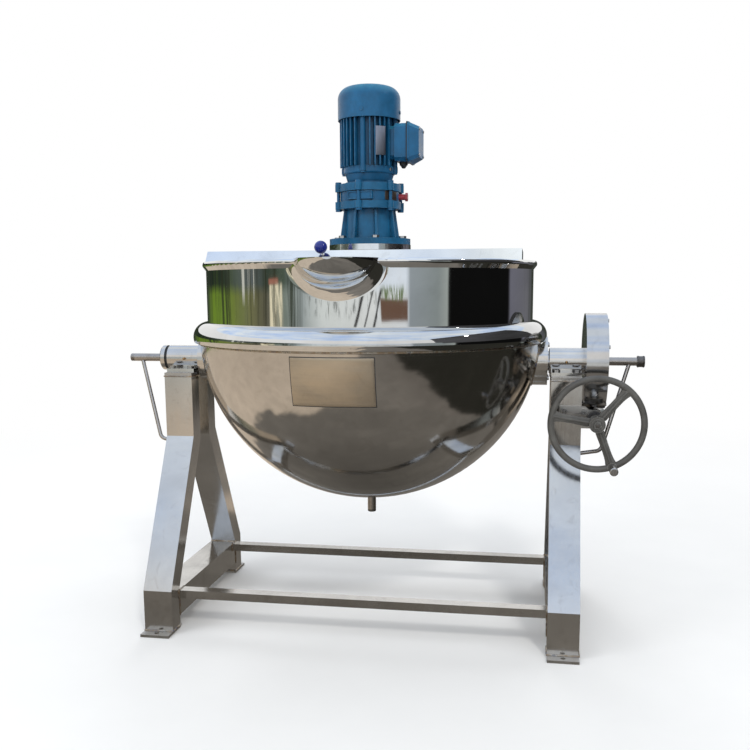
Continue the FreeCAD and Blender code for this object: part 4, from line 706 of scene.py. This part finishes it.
class KETTLE_OT_drive_plates(bpy.types.Operator):
    """Bare plate on the motor's fins, and a dark plate on the gear ring that paints the shade of the gap
    between its flanges
    """

    bl_idname = "kettle.drive_plates"
    bl_label = "Drive Plates"

    def execute(self, context):
        low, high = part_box("motor_frame")
        middle = low.z + (high.z - low.z) * 0.49
        half = trim().motor_plate_height / 2
        curved_plate("motor_plate", MOTOR_RADIUS, -58.0, 9.5, middle - half, middle + half,
                     "silver")
        # A dark plate that paints the shade of the gap between the gear ring's flanges.
        low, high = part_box("gear_ring")
        inset = (high.z - low.z) * 0.08
        curved_plate("gear_patch", GEAR_RADIUS, -34.0, 16.5, low.z + inset, high.z - inset,
                     "patch")
        return {"FINISHED"}


class KETTLE_OT_terminal_trim(bpy.types.Operator):
    """Gasket, lid screws and earth screw of the terminal box"""

    bl_idname = "kettle.terminal_trim"
    bl_label = "Terminal Box Trim"

    def execute(self, context):
        low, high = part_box("terminal_lid")
        middle = (low.z + high.z) / 2
        aim = Quaternion(UP, LID_TURN)
        half_high = (high.z - low.z) / 2
        half_wide = 0.052
        gasket_out, screw_out = 0.1262, 0.1608
        screw_aside, screw_rise = 0.031, 0.037
        nothing_selected()
        bpy.ops.mesh.primitive_cube_add(size=1.0)
        context.object.scale = (0.0022, 2 * half_wide + 0.0016, 2 * half_high + 0.0016)
        fixed()

        def through(edge):
            """Whether an edge runs through the gasket's thickness."""
            first, second = (context.object.data.vertices[index].co.x for index in edge.vertices)
            return abs(first - second) > 0.001

        chosen("EDGE", through)
        bpy.ops.mesh.bevel(offset=0.0105, segments=5)
        shaped()
        context.object.location = aim @ Vector((gasket_out, 0.0, middle))
        context.object.rotation_euler = (0.0, 0.0, LID_TURN)
        settled("terminal_gasket", "kettle", "black")
        drawn(20, ((0.0046, 0.0), (0.0046, 0.0018), (0.0040, 0.0026), (0.0018, 0.0028), (0.0018, 0.0014)))
        out = aim @ Vector(TO_RIGHT)
        stands = [
            (aim @ Vector((screw_out, side * screw_aside, middle + rise * screw_rise)), out)
            for side in (-1.0, 1.0) for rise in (-1.0, 1.0)]
        repeated("terminal_screw", stands, "kettle", "turned")
        face, height = 0.0785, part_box("motor_end_shield")[1].z - 0.009
        drawn(6, ((0.0052, 0.0), (0.0052, 0.0034), (0.0044, 0.0042), (0.0020, 0.0042)))
        turn = radians(-28.0)
        out = Vector((cos(turn), sin(turn), 0.0))
        stood(out * face + Vector((0.0, 0.0, height)), out)
        settled("earth_screw", "kettle", "bolts")
        return {"FINISHED"}


class KETTLE_OT_pipe_ends(bpy.types.Operator):
    """Cut thread on the condensate pipe and bands on the steam union"""

    bl_idname = "kettle.pipe_ends"
    bl_label = "Pipe Ends"

    def execute(self, context):
        sides = trim().round_courses
        count = trim().thread_turns
        thread = 0.0126
        pitch = thread / count
        bore, root, crest = 0.0102, 0.01188, 0.01245
        profile = [(bore, pitch * count), (bore, 0.0)]
        for turn in range(count):
            profile += [(root, pitch * turn), (crest, pitch * (turn + 0.45)), (crest, pitch * (turn + 0.55))]
        profile.append((root, pitch * count))
        ring(sides, profile)
        stood((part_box("condensate_pipe")[0].x + 0.0004, 0.0, TRUNNION_HEIGHT), TO_RIGHT)
        settled("condensate_thread", "stand", "pipe", 20.0)
        low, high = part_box("steam_union")
        for name, start in (("union_band_inner", low.x + 0.0012), ("union_band_outer", high.x - 0.0052)):
            ring(sides, (
                (0.0163, 0.0), (0.0170, 0.0), (0.0177, 0.0008),
                (0.0177, 0.0032), (0.0170, 0.0040), (0.0163, 0.0040)))
            stood((start, 0.0, TRUNNION_HEIGHT), TO_RIGHT)
            settled(name, "stand", "union")
        return {"FINISHED"}


class KETTLE_OT_seals(bpy.types.Operator):
    """Rubber lips at the trunnions and at the worm shaft"""

    bl_idname = "kettle.seals"
    bl_label = "Shaft Seals"

    def execute(self, context):
        sides = trim().round_courses
        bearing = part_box("bearing_housing_right")[0].x
        for name, side in (("shaft_seal_left", -1.0), ("shaft_seal_right", 1.0)):
            ring(sides, (
                (0.0306, 0.0), (0.0318, -0.0012), (0.0372, -0.0018),
                (0.0386, -0.0006), (0.0386, 0.0004), (0.0306, 0.0004)))
            stood((side * bearing, 0.0, TRUNNION_HEIGHT), (side, 0.0, 0.0))
            settled(name, "stand", "seal")
        front = min(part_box("worm_brackets")[0].y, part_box("worm_bracket_strap")[0].y)
        ring(sides, (
            (0.0143, 0.0), (0.0152, 0.0022), (0.0205, 0.0034),
            (0.0238, 0.0026), (0.0244, -0.0004), (0.0143, -0.0004)))
        stood((WORM_X, front, WORM_HEIGHT), TO_FRONT)
        settled("worm_seal", "stand", "seal")
        return {"FINISHED"}


class KETTLE_OT_handwheel_trim(bpy.types.Operator):
    """Washer, nut and thread end that hold the handwheel on the worm shaft"""

    bl_idname = "kettle.handwheel_trim"
    bl_label = "Handwheel Nut"

    def execute(self, context):
        front = min(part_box("worm_shaft")[0].y, HUB_FRONT)
        washer = 0.0022
        ring(trim().round_courses, (
            (0.0050, 0.0), (0.0050, washer), (0.0168, washer), (0.0174, 0.0016), (0.0174, 0.0)))
        stood((WORM_X, front, WORM_HEIGHT), TO_FRONT)
        settled("handwheel_washer", "handwheel_set", "handwheel")
        place = Vector((WORM_X, front, WORM_HEIGHT)) + Vector((0.0, -washer, 0.0))
        drawn(6, ((0.0112, 0.0), (0.0120, 0.0008), (0.0120, 0.0072), (0.0108, 0.0084), (0.0070, 0.0084)))
        stood(place, TO_FRONT, radians(14.0))
        settled("handwheel_nut", "handwheel_set", "handwheel")
        drawn(24, (
            (0.0058, 0.0), (0.0058, 0.0086), (0.0052, 0.0092), (0.0058, 0.0098), (0.0052, 0.0104),
            (0.0058, 0.0110), (0.0050, 0.0118), (0.0020, 0.0120)))
        stood(place, TO_FRONT)
        settled("handwheel_stud", "handwheel_set", "union")
        return {"FINISHED"}


class KETTLE_OT_spoke_webs(bpy.types.Operator):
    """Broad oval webs cast over the spokes of the handwheel, flared where they meet its rim"""

    bl_idname = "kettle.spoke_webs"
    bl_label = "Spoke Webs"

    def execute(self, context):
        drawn(28, (
            (0.0140, 0.016), (0.0128, 0.034), (0.0118, 0.060), (0.0116, 0.090),
            (0.0126, 0.106), (0.0150, 0.118), (0.0190, 0.129)))
        context.object.scale = (0.43, 1.0, 1.0)
        fixed()
        modified("SUBSURF", levels=1, render_levels=1)
        run, slope = 0.112, -0.0085
        turns = [radians(angle) for angle in SPOKE_ANGLES]
        stands = [
            ((WORM_X, SPOKE_FRONT, WORM_HEIGHT), (run * cos(turn), slope, run * sin(turn)))
            for turn in turns]
        repeated("spoke_web", stands, "handwheel_set", "handwheel")
        return {"FINISHED"}


class KETTLE_OT_spout_fillet(bpy.types.Operator):
    """Polished fillet that blends the pouring spout into the pot wall"""

    bl_idname = "kettle.spout_fillet"
    bl_label = "Spout Fillet"

    def execute(self, context):
        start = radians(9.0)
        on_wall, on_spout = 0.030, 0.034
        inside, run = 0.018, 0.048

        def spout_at(reach):
            """Half width and depth of the spout at a distance out from the pot's bore."""
            part = (reach + inside) / run
            return 0.115 - 0.017 * part, 0.093 - 0.027 * part

        nothing_selected()
        bpy.ops.mesh.primitive_grid_add(x_subdivisions=72, y_subdivisions=10, size=1.0)
        for vertex in context.object.data.vertices:
            turn = start + (pi - 2 * start) * (vertex.co.x + 0.5)
            along = vertex.co.y + 0.5
            aside, down = cos(turn), sin(turn)
            reach = -0.001
            for _ in range(4):
                half, depth = spout_at(reach)
                reach = sqrt(POT_OUTER_RADIUS ** 2 - (half * aside) ** 2) - POT_INNER_RADIUS
            seam = Vector((half * aside, -POT_INNER_RADIUS - reach, RIM_HEIGHT - depth * down))
            broad = (half + on_wall) * aside
            out = -sqrt(POT_OUTER_RADIUS ** 2 - broad ** 2)
            outer = Vector((broad, out, RIM_HEIGHT - (depth + on_wall) * down))
            half, depth = spout_at(reach + on_spout)
            within = -POT_INNER_RADIUS - reach - on_spout
            inner = Vector((half * aside, within, RIM_HEIGHT - (depth + 0.0002) * down))
            vertex.co = outer * (1 - along) ** 2 + seam * 2 * along * (1 - along) + inner * along ** 2
        shaping()
        shaped()
        faces = context.object.data.polygons
        if faces[len(faces) // 2].normal.y > 0.0:
            shaping()
            bpy.ops.mesh.flip_normals()
            bpy.ops.object.mode_set(mode="OBJECT")
        modified("SOLIDIFY", thickness=0.0012, offset=-1.0)
        settled("spout_fillet", "kettle", "pot wall", 60.0)
        return {"FINISHED"}


class KETTLE_OT_bowl_welds(bpy.types.Operator):
    """Weld beads of the jacket, its bosses, the drain and the drive's disc"""

    bl_idname = "kettle.bowl_welds"
    bl_label = "Bowl Welds"

    def execute(self, context):
        size = trim().bead_radius
        grow = size * 0.2
        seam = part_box("jacket_shoulder")[0].z
        round_seam = sqrt(BOWL_RADIUS ** 2 - (seam - BOWL_CENTRE) ** 2) + grow
        disc_low, disc_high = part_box("mounting_disc")
        bottom = BOWL_CENTRE - BOWL_RADIUS - size * 0.1
        ring_bead("shoulder_weld", seam - size * 0.3, round_seam, size, 320)
        ring_bead("disc_weld", disc_low.z + grow, disc_high.x + size * 0.1, size * 0.8,
                  160)
        ring_bead("drain_weld", bottom, DRAIN_RADIUS, size, 48)
        steps = 96
        for name, side in (("boss_weld_left", -1.0), ("boss_weld_right", 1.0)):
            points = []
            for step in range(steps):
                turn = tau * step / steps
                y = BOSS_RADIUS * cos(turn)
                z = TRUNNION_HEIGHT + BOSS_RADIUS * sin(turn)
                x = sqrt(BOWL_RADIUS ** 2 - y * y - (z - BOWL_CENTRE) ** 2) + grow
                points.append((side * x, y, z))
            path_bead(name, points, size, "kettle")
        return {"FINISHED"}


class KETTLE_OT_stand_welds(bpy.types.Operator):
    """Weld beads where legs, foot plates, base beams and rails meet"""

    bl_idname = "kettle.stand_welds"
    bl_label = "Stand Welds"

    def execute(self, context):
        size = trim().bead_radius
        sunk, grow = size * 0.3, size * 0.2
        leg_low, leg_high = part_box("leg_front_right")
        beam_low, beam_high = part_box("base_beams")
        rail_low, rail_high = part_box("cross_rails")
        leg_x = (leg_low.x + leg_high.x) / 2
        leg_wide = ((leg_high.x - leg_low.x) / 2 + grow, 0.0, 0.0)
        leg_deep = (0.0, LEG_DEPTH / 2 + grow, 0.0)
        beam_tall = (0.0, 0.0, (beam_high.z - beam_low.z) / 2 + grow)
        rail_deep = (0.0, RAIL_DEPTH / 2 + grow, 0.0)
        rail_tall = (0.0, 0.0, (rail_high.z - rail_low.z) / 2 + grow)
        welds = (
            ("foot", (leg_x, FOOT_Y, FOOT_PLATE_TOP + sunk), leg_wide, leg_deep),
            ("cap", (leg_x, CAP_Y, leg_high.z - sunk), leg_wide, leg_deep),
            ("beam", (leg_x, beam_high.y - sunk, (beam_low.z + beam_high.z) / 2), leg_wide, beam_tall),
            ("rail", (rail_high.x - sunk, RAIL_Y, (rail_low.z + rail_high.z) / 2), rail_deep, rail_tall))
        for side, hand in ((-1.0, "left"), (1.0, "right")):
            for end, face in ((-1.0, "front"), (1.0, "rear")):
                for kind, (x, y, z), first, second in welds:
                    points = rectangle((side * x, end * y, z), first, second)
                    path_bead(f"{kind}_weld_{face}_{hand}", points, size, "stand")
        return {"FINISHED"}


# Studio


def card_light(name, level=1.0):
    """Begins the light of a card and gives its material, its light and its Object coordinates."""
    material = bpy.data.materials.new(name)
    material.use_nodes = True
    tree = material.node_tree
    tree.nodes.clear()
    light = added(tree, "Emission", {"Strength": level})
    joined("OutputMaterial", {"Surface": light.outputs["Emission"]})
    return material, light, object_place(tree)


def around(place):
    """Angle round the kettle, from 0 at its left through 0.25 at its front to 0.5 at its right."""
    return joined("TexGradient", {"Vector": place}, gradient_type="RADIAL").outputs["Fac"]


def hedge_light():
    """Low ring: hedge, trees and a house at the left, haze in front, a wall and a doorway at the right."""
    material, light, place = card_light("hedge_card_light")
    turn = around(place)
    height = parted(place)["Z"]
    wall = (
        (0.345, (0.33, 0.37, 0.40)), (0.400, (0.30, 0.34, 0.34)), (0.419, (0.42, 0.46, 0.44)),
        (0.422, (0.006, 0.006, 0.006)), (0.569, (0.006, 0.006, 0.006)), (0.575, (0.17, 0.17, 0.21)))
    low = tones(turn, (
        (0.000, (0.20, 0.25, 0.06)), (0.045, (0.19, 0.19, 0.09)), (0.080, (0.14, 0.13, 0.09)),
        (0.120, (0.24, 0.28, 0.24)), (0.155, (0.40, 0.45, 0.45)), (0.190, (0.78, 0.82, 0.80)),
        (0.300, (0.84, 0.86, 0.86)), (0.343, (0.86, 0.90, 0.94)), *wall, (0.650, (0.16, 0.16, 0.18)),
        (0.700, (0.06, 0.065, 0.06)), (0.860, (0.05, 0.07, 0.04)), (0.905, (0.15, 0.24, 0.03)),
        (0.960, (0.17, 0.27, 0.04)), (1.000, (0.20, 0.25, 0.06))))
    high = tones(turn, (
        (0.000, (0.10, 0.13, 0.10)), (0.045, (0.13, 0.15, 0.15)), (0.085, (0.05, 0.07, 0.05)),
        (0.120, (0.08, 0.11, 0.08)), (0.155, (0.26, 0.31, 0.32)), (0.190, (0.78, 0.84, 0.90)),
        (0.300, (0.80, 0.87, 0.96)), (0.343, (0.80, 0.87, 0.96)), *wall, (0.650, (0.14, 0.14, 0.16)),
        (0.700, (0.05, 0.055, 0.05)), (0.860, (0.03, 0.04, 0.03)), (0.905, (0.02, 0.03, 0.02)),
        (0.960, (0.03, 0.045, 0.03)), (1.000, (0.10, 0.13, 0.10))))
    leaves = clouds(stretched(place, (1.0, 1.0, 0.45)), 1.9, 5.0, 0.65)
    rise = worked("ADD", spread(height, 0.0, 1.0, 0.96, 1.08), spread(leaves, -0.25, 0.25))
    colour = blended(rise, low, high)
    wild = worked("SUBTRACT", 1.0, between(turn, 0.150, 0.640, 0.015))
    stripes = clouds(stretched(place, (2.4, 2.4, 0.30)), 1.0, 5.0, 0.7)
    dark = both(wild, spread(stripes, 0.0, 0.85, 0.50, 0.60))
    colour = blended(dark, colour, (0.035, 0.042, 0.025))
    trunks = clouds(stretched(place, (2.6, 2.6, 0.12)), 1.0, 3.0, 0.6)
    trees = both(between(turn, -0.10, 0.060, 0.01), spread(height, 0.0, 1.0, 0.85, 1.0))
    pale = both(trees, spread(trunks, 0.0, 0.9, 0.56, 0.60))
    colour = blended(pale, colour, (0.74, 0.74, 0.66))
    panes = spread(leaves, 0.25, 1.0, 0.44, 0.50)
    spots = spread(clouds(place, 4.5, 4.0, 0.7), 0.0, 0.8, 0.52, 0.60)
    twigs = spread(clouds(stretched(place, (1.0, 1.0, 0.4)), 9.0, 3.0, 0.6), 0.0, 1.0, 0.42, 0.52)
    slant = worked("SUBTRACT", turn, spread(height, 0.0, 0.0225, 0.60, 1.10))
    post, grey = (0.60, 1.02, 0.02), (0.05, 0.05, 0.05)
    for across, span, band, pattern, paint in (
            (turn, (0.089, 0.116, 0.0015), (-1.0, 1.065, 0.02), panes, (0.95, 0.86, 0.62)),
            (turn, (0.087, 0.108, 0.002), (1.065, 1.125, 0.01), 1.0, (0.40, 0.17, 0.12)),
            (turn, (0.165, 0.290, 0.01), (0.72, 1.02, 0.04), spots, (0.16, 0.17, 0.16)),
            (slant, (0.2476, 0.2524, 0.0008), post, 1.0, grey),
            (slant, (0.2648, 0.2672, 0.0008), post, 1.0, grey),
            (slant, (0.2800, 0.2840, 0.0008), post, 1.0, grey),
            (turn, (0.298, 0.3435, 0.001), (0.69, 0.92, 0.01), 1.0, (0.17, 0.10, 0.07)),
            (turn, (0.302, 0.338, 0.004), (0.91, 1.05, 0.03), twigs, (0.13, 0.19, 0.06))):
        patch = both(between(across, *span), between(height, *band))
        colour = blended(both(patch, pattern), colour, paint)
    fed(light, {"Color": colour})
    return material


def ground_light():
    """Sunlit paving that darkens under the kettle and falls into shade at the right."""
    material, light, place = card_light("ground_card_light")
    parts = parted(place)
    edge = spread(clouds(place, 1.1, 4.0, 0.6), -0.10, 0.10)
    side = worked(
        "ADD", spread(parts["X"], 0.0, 1.0, -0.6, 2.4), spread(parts["Y"], -0.20, 0.0, -6.0, 0.0))
    side = worked("ADD", side, edge)
    colour = tones(side, (
        (0.00, (0.74, 0.63, 0.51)), (0.155, (0.64, 0.54, 0.44)), (0.175, (0.27, 0.25, 0.225)),
        (0.60, (0.22, 0.20, 0.18))))
    reach = distance(place)
    near = worked("ADD", spread(reach, 0.0, 1.0, 0.0, 2.0), edge)
    for value, paint in (
            (spread(near, 1.0, 0.0, 0.55, 0.58), (0.21, 0.195, 0.175)),
            (spread(reach, 0.75, 0.0, 0.10, 0.75), (0.075, 0.070, 0.062)),
            (spread(side, 0.0, 1.0, 0.58, 0.62), (0.035, 0.034, 0.028))):
        colour = blended(value, colour, paint)
    joints = joined("TexBrick", {
        "Vector": place, "Color1": (1.0, 1.0, 1.0), "Color2": (0.86, 0.86, 0.86),
        "Mortar": (0.86, 0.86, 0.86), "Scale": 2.2, "Mortar Size": 0.012})
    paving = {"Factor": 1.0, "A": colour, "B": joints.outputs["Color"]}
    paved = joined("Mix", paving, data_type="RGBA", blend_type="MULTIPLY")
    fed(light, {"Color": paved.outputs["Result"]})
    return material


def plain_light(name, low, high, scale, level):
    """A card of slowly drifting tone."""
    material, light, place = card_light(name, level)
    fed(light, {"Color": tones(clouds(place, scale, 4.0, 0.6), ((0.35, low), (0.65, high)))})
    return material


def seen(tree):
    """High for rays from the lens and for those that mirrored or went through a surface."""
    rays = added(tree, "LightPath", {}).outputs
    direct = worked("MAXIMUM", rays["Is Camera Ray"], rays["Is Glossy Ray"])
    return worked("MAXIMUM", direct, rays["Is Transmission Ray"])


def swapped(value, first, second, out):
    """Sends a first shader to the output and a second where the value is high."""
    mix = joined("MixShader", {"Fac": value, 1: first, 2: second})
    fed(out, {"Surface": mix.outputs["Shader"]})


def floor_finish():
    """Matt white floor that keeps the kettle's shadow and fades to plain white far away."""
    material, shader, place = new_finish("floor_matt")
    tree = material.node_tree
    drift = clouds(place, 2.0, 4.0, 0.6)
    fed(shader, {
        "Base Color": tones(drift, ((0.35, (0.89, 0.89, 0.89)), (0.65, (0.91, 0.91, 0.91)))),
        "Roughness": 0.9, "Specular IOR Level": 0.1})
    far = spread(distance(place), 0.0, 1.0, 1.2, 4.5)
    white = added(tree, "Emission", {}).outputs["Emission"]
    out = tree.nodes["Material Output"]
    swapped(both(far, seen(tree)), shader.outputs["BSDF"], white, out)
    return material


def only_in_reflections(name, material):
    """Names the active card, which the polished steel mirrors and neither the lens nor a lamp meets."""
    card = bpy.context.object
    card.name = name
    card.data.materials.append(material)
    for rays in ("camera", "diffuse", "shadow", "transmission"):
        setattr(card, "visible_" + rays, False)


def lamp(name, place, aim, width, power, warmth, mirrored=False):
    """A soft square lamp that points at a place; polished steel mirrors it where asked."""
    nothing_selected()
    bpy.ops.object.light_add(type="AREA", location=place)
    light = bpy.context.object
    light.name = name
    light.data.energy = power
    light.data.size = width
    light.data.color = warmth
    light.visible_camera = False
    light.visible_glossy = mirrored
    light.rotation_mode = "QUATERNION"
    light.rotation_quaternion = (Vector(aim) - Vector(place)).to_track_quat("-Z", "Y")


def plain_sky(context, level):
    """An even white sky, plain white to the lens and to polished metal."""
    world = bpy.data.worlds.new("plain_sky")
    context.scene.world = world
    world.use_nodes = True
    tree = world.node_tree
    tree.nodes.clear()
    sky = added(tree, "Background", {"Color": (0.94, 0.97, 1.0), "Strength": level})
    white = added(tree, "Background", {"Color": (1.0, 1.0, 1.0)})
    out = added(tree, "OutputWorld", {})
    swapped(seen(tree), sky.outputs["Background"], white.outputs["Background"], out)


def stand_camera(context):
    """Stands the camera where the photograph was taken from."""
    yaw, pitch, roll = radians(9.387), radians(8.777), radians(-0.267)
    forward = Vector((
        -sin(yaw) * cos(pitch), cos(yaw) * cos(pitch), -sin(pitch)))
    level = Vector((cos(yaw), sin(yaw), 0.0))
    rise = level.cross(forward)
    right = level * cos(roll) + rise * sin(roll)
    up = rise * cos(roll) - level * sin(roll)
    nothing_selected()
    bpy.ops.object.camera_add()
    camera = context.object
    camera.name = "photo_camera"
    camera.data.sensor_width = 36.0
    camera.data.lens = 42.142
    camera.data.shift_x = -0.01275
    camera.data.shift_y = 0.06158
    turn = Matrix((right, up, -forward)).transposed().to_4x4()
    camera.matrix_world = Matrix.Translation((0.4951, -2.7354, 1.0492)) @ turn
    context.scene.camera = camera


class KETTLE_OT_stage(bpy.types.Operator):
    """Pale floor, plain sky, reflection cards, soft lamps and the camera"""

    bl_idname = "kettle.stage"
    bl_label = "Studio"

    def execute(self, context):
        setting = stage_settings()
        reach, rise = setting.card_distance, setting.card_height
        wall_x, wall_lift, sky_height = reach * 0.72, 1.5, 6.5
        nothing_selected()
        bpy.ops.mesh.primitive_plane_add(size=setting.floor_size, location=(0.0, 0.0, -0.0004))
        floor = context.object
        floor.name = "floor"
        floor.data.materials.append(floor_finish())
        nothing_selected()
        bpy.ops.mesh.primitive_circle_add(
            vertices=96, radius=reach, fill_type="NGON", location=(0.0, 0.0, 0.0002))
        only_in_reflections("ground_card", ground_light())
        nothing_selected()
        bpy.ops.mesh.primitive_cylinder_add(
            vertices=96, radius=reach, depth=rise, end_fill_type="NOTHING", location=(0.0, 0.0, rise / 2))
        fixed()
        only_in_reflections("hedge_card", hedge_light())
        nothing_selected()
        bpy.ops.mesh.primitive_plane_add(
            size=1.0, location=(wall_x, -0.6, rise + wall_lift),
            rotation=(0.0, radians(90.0), radians(8.0)))
        context.object.scale = (4.0, 9.0, 1.0)
        wall_light = plain_light("wall_card_light", (0.035, 0.035, 0.035), (0.12, 0.12, 0.13), 0.5, 1.0)
        only_in_reflections("wall_card", wall_light)
        nothing_selected()
        bpy.ops.mesh.primitive_circle_add(
            vertices=64, radius=reach * 1.6, fill_type="NGON", location=(0.0, 0.0, sky_height))
        sky_light = plain_light("sky_card_light", (0.52, 0.68, 1.0), (0.90, 0.96, 1.0), 0.3, 1.15)
        only_in_reflections("sky_card", sky_light)
        lamp("key_lamp", (2.2, -4.6, 5.0), (0.1, 0.0, 0.9), 0.7, setting.key_power, (1.0, 0.97, 0.92))
        lamp("glint_lamp", (4.31, -0.865, 4.28), (0.33, -0.43, 0.93), 0.16, setting.glint_power,
             (1.0, 1.0, 1.0), True)
        lamp("fill_lamp", (-4.2, -3.4, 3.6), (0.0, 0.0, 0.8), 2.4, setting.fill_power, (0.94, 0.97, 1.0))
        lamp("back_lamp", (-1.0, 4.6, 4.4), (0.0, 0.0, 0.9), 2.4, setting.fill_power, (1.0, 1.0, 1.0))
        plain_sky(context, setting.sky)
        stand_camera(context)
        context.scene.view_settings.view_transform = "Standard"
        return {"FINISHED"}


# Add-on


STEPS = (
    KETTLE_OT_finishes,
    KETTLE_OT_bowl_plate,
    KETTLE_OT_drive_plates,
    KETTLE_OT_terminal_trim,
    KETTLE_OT_pipe_ends,
    KETTLE_OT_seals,
    KETTLE_OT_handwheel_trim,
    KETTLE_OT_spoke_webs,
    KETTLE_OT_spout_fillet,
    KETTLE_OT_bowl_welds,
    KETTLE_OT_stand_welds,
    KETTLE_OT_stage,
)


class KETTLE_PT_panel(bpy.types.Panel):
    """The kettle's pieces in the 3D view's sidebar"""

    bl_idname = "KETTLE_PT_panel"
    bl_label = "Jacketed Kettle"
    bl_space_type = "VIEW_3D"
    bl_region_type = "UI"
    bl_category = "Kettle"

    def draw(self, context):
        for step in STEPS:
            self.layout.operator(step.bl_idname)
        for group in (colours(), trim(), stage_settings()):
            column = self.layout.column()
            for name in group.__annotations__:
                column.prop(group, name)


CLASSES = (KETTLE_PG_colours, KETTLE_PG_trim, KETTLE_PG_stage, *STEPS, KETTLE_PT_panel)


def register():
    for kind in CLASSES:
        bpy.utils.register_class(kind)
    bpy.types.Scene.kettle_colours = PointerProperty(type=KETTLE_PG_colours)
    bpy.types.Scene.kettle_trim = PointerProperty(type=KETTLE_PG_trim)
    bpy.types.Scene.kettle_stage = PointerProperty(type=KETTLE_PG_stage)


def unregister():
    del bpy.types.Scene.kettle_stage
    del bpy.types.Scene.kettle_trim
    del bpy.types.Scene.kettle_colours
    for kind in reversed(CLASSES):
        bpy.utils.unregister_class(kind)


def main():
    """Registers the add-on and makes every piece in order."""
    register()
    for step in STEPS:
        group, action = step.bl_idname.split(".")
        getattr(getattr(bpy.ops, group), action)()


if __name__ == "__main__":
    main()
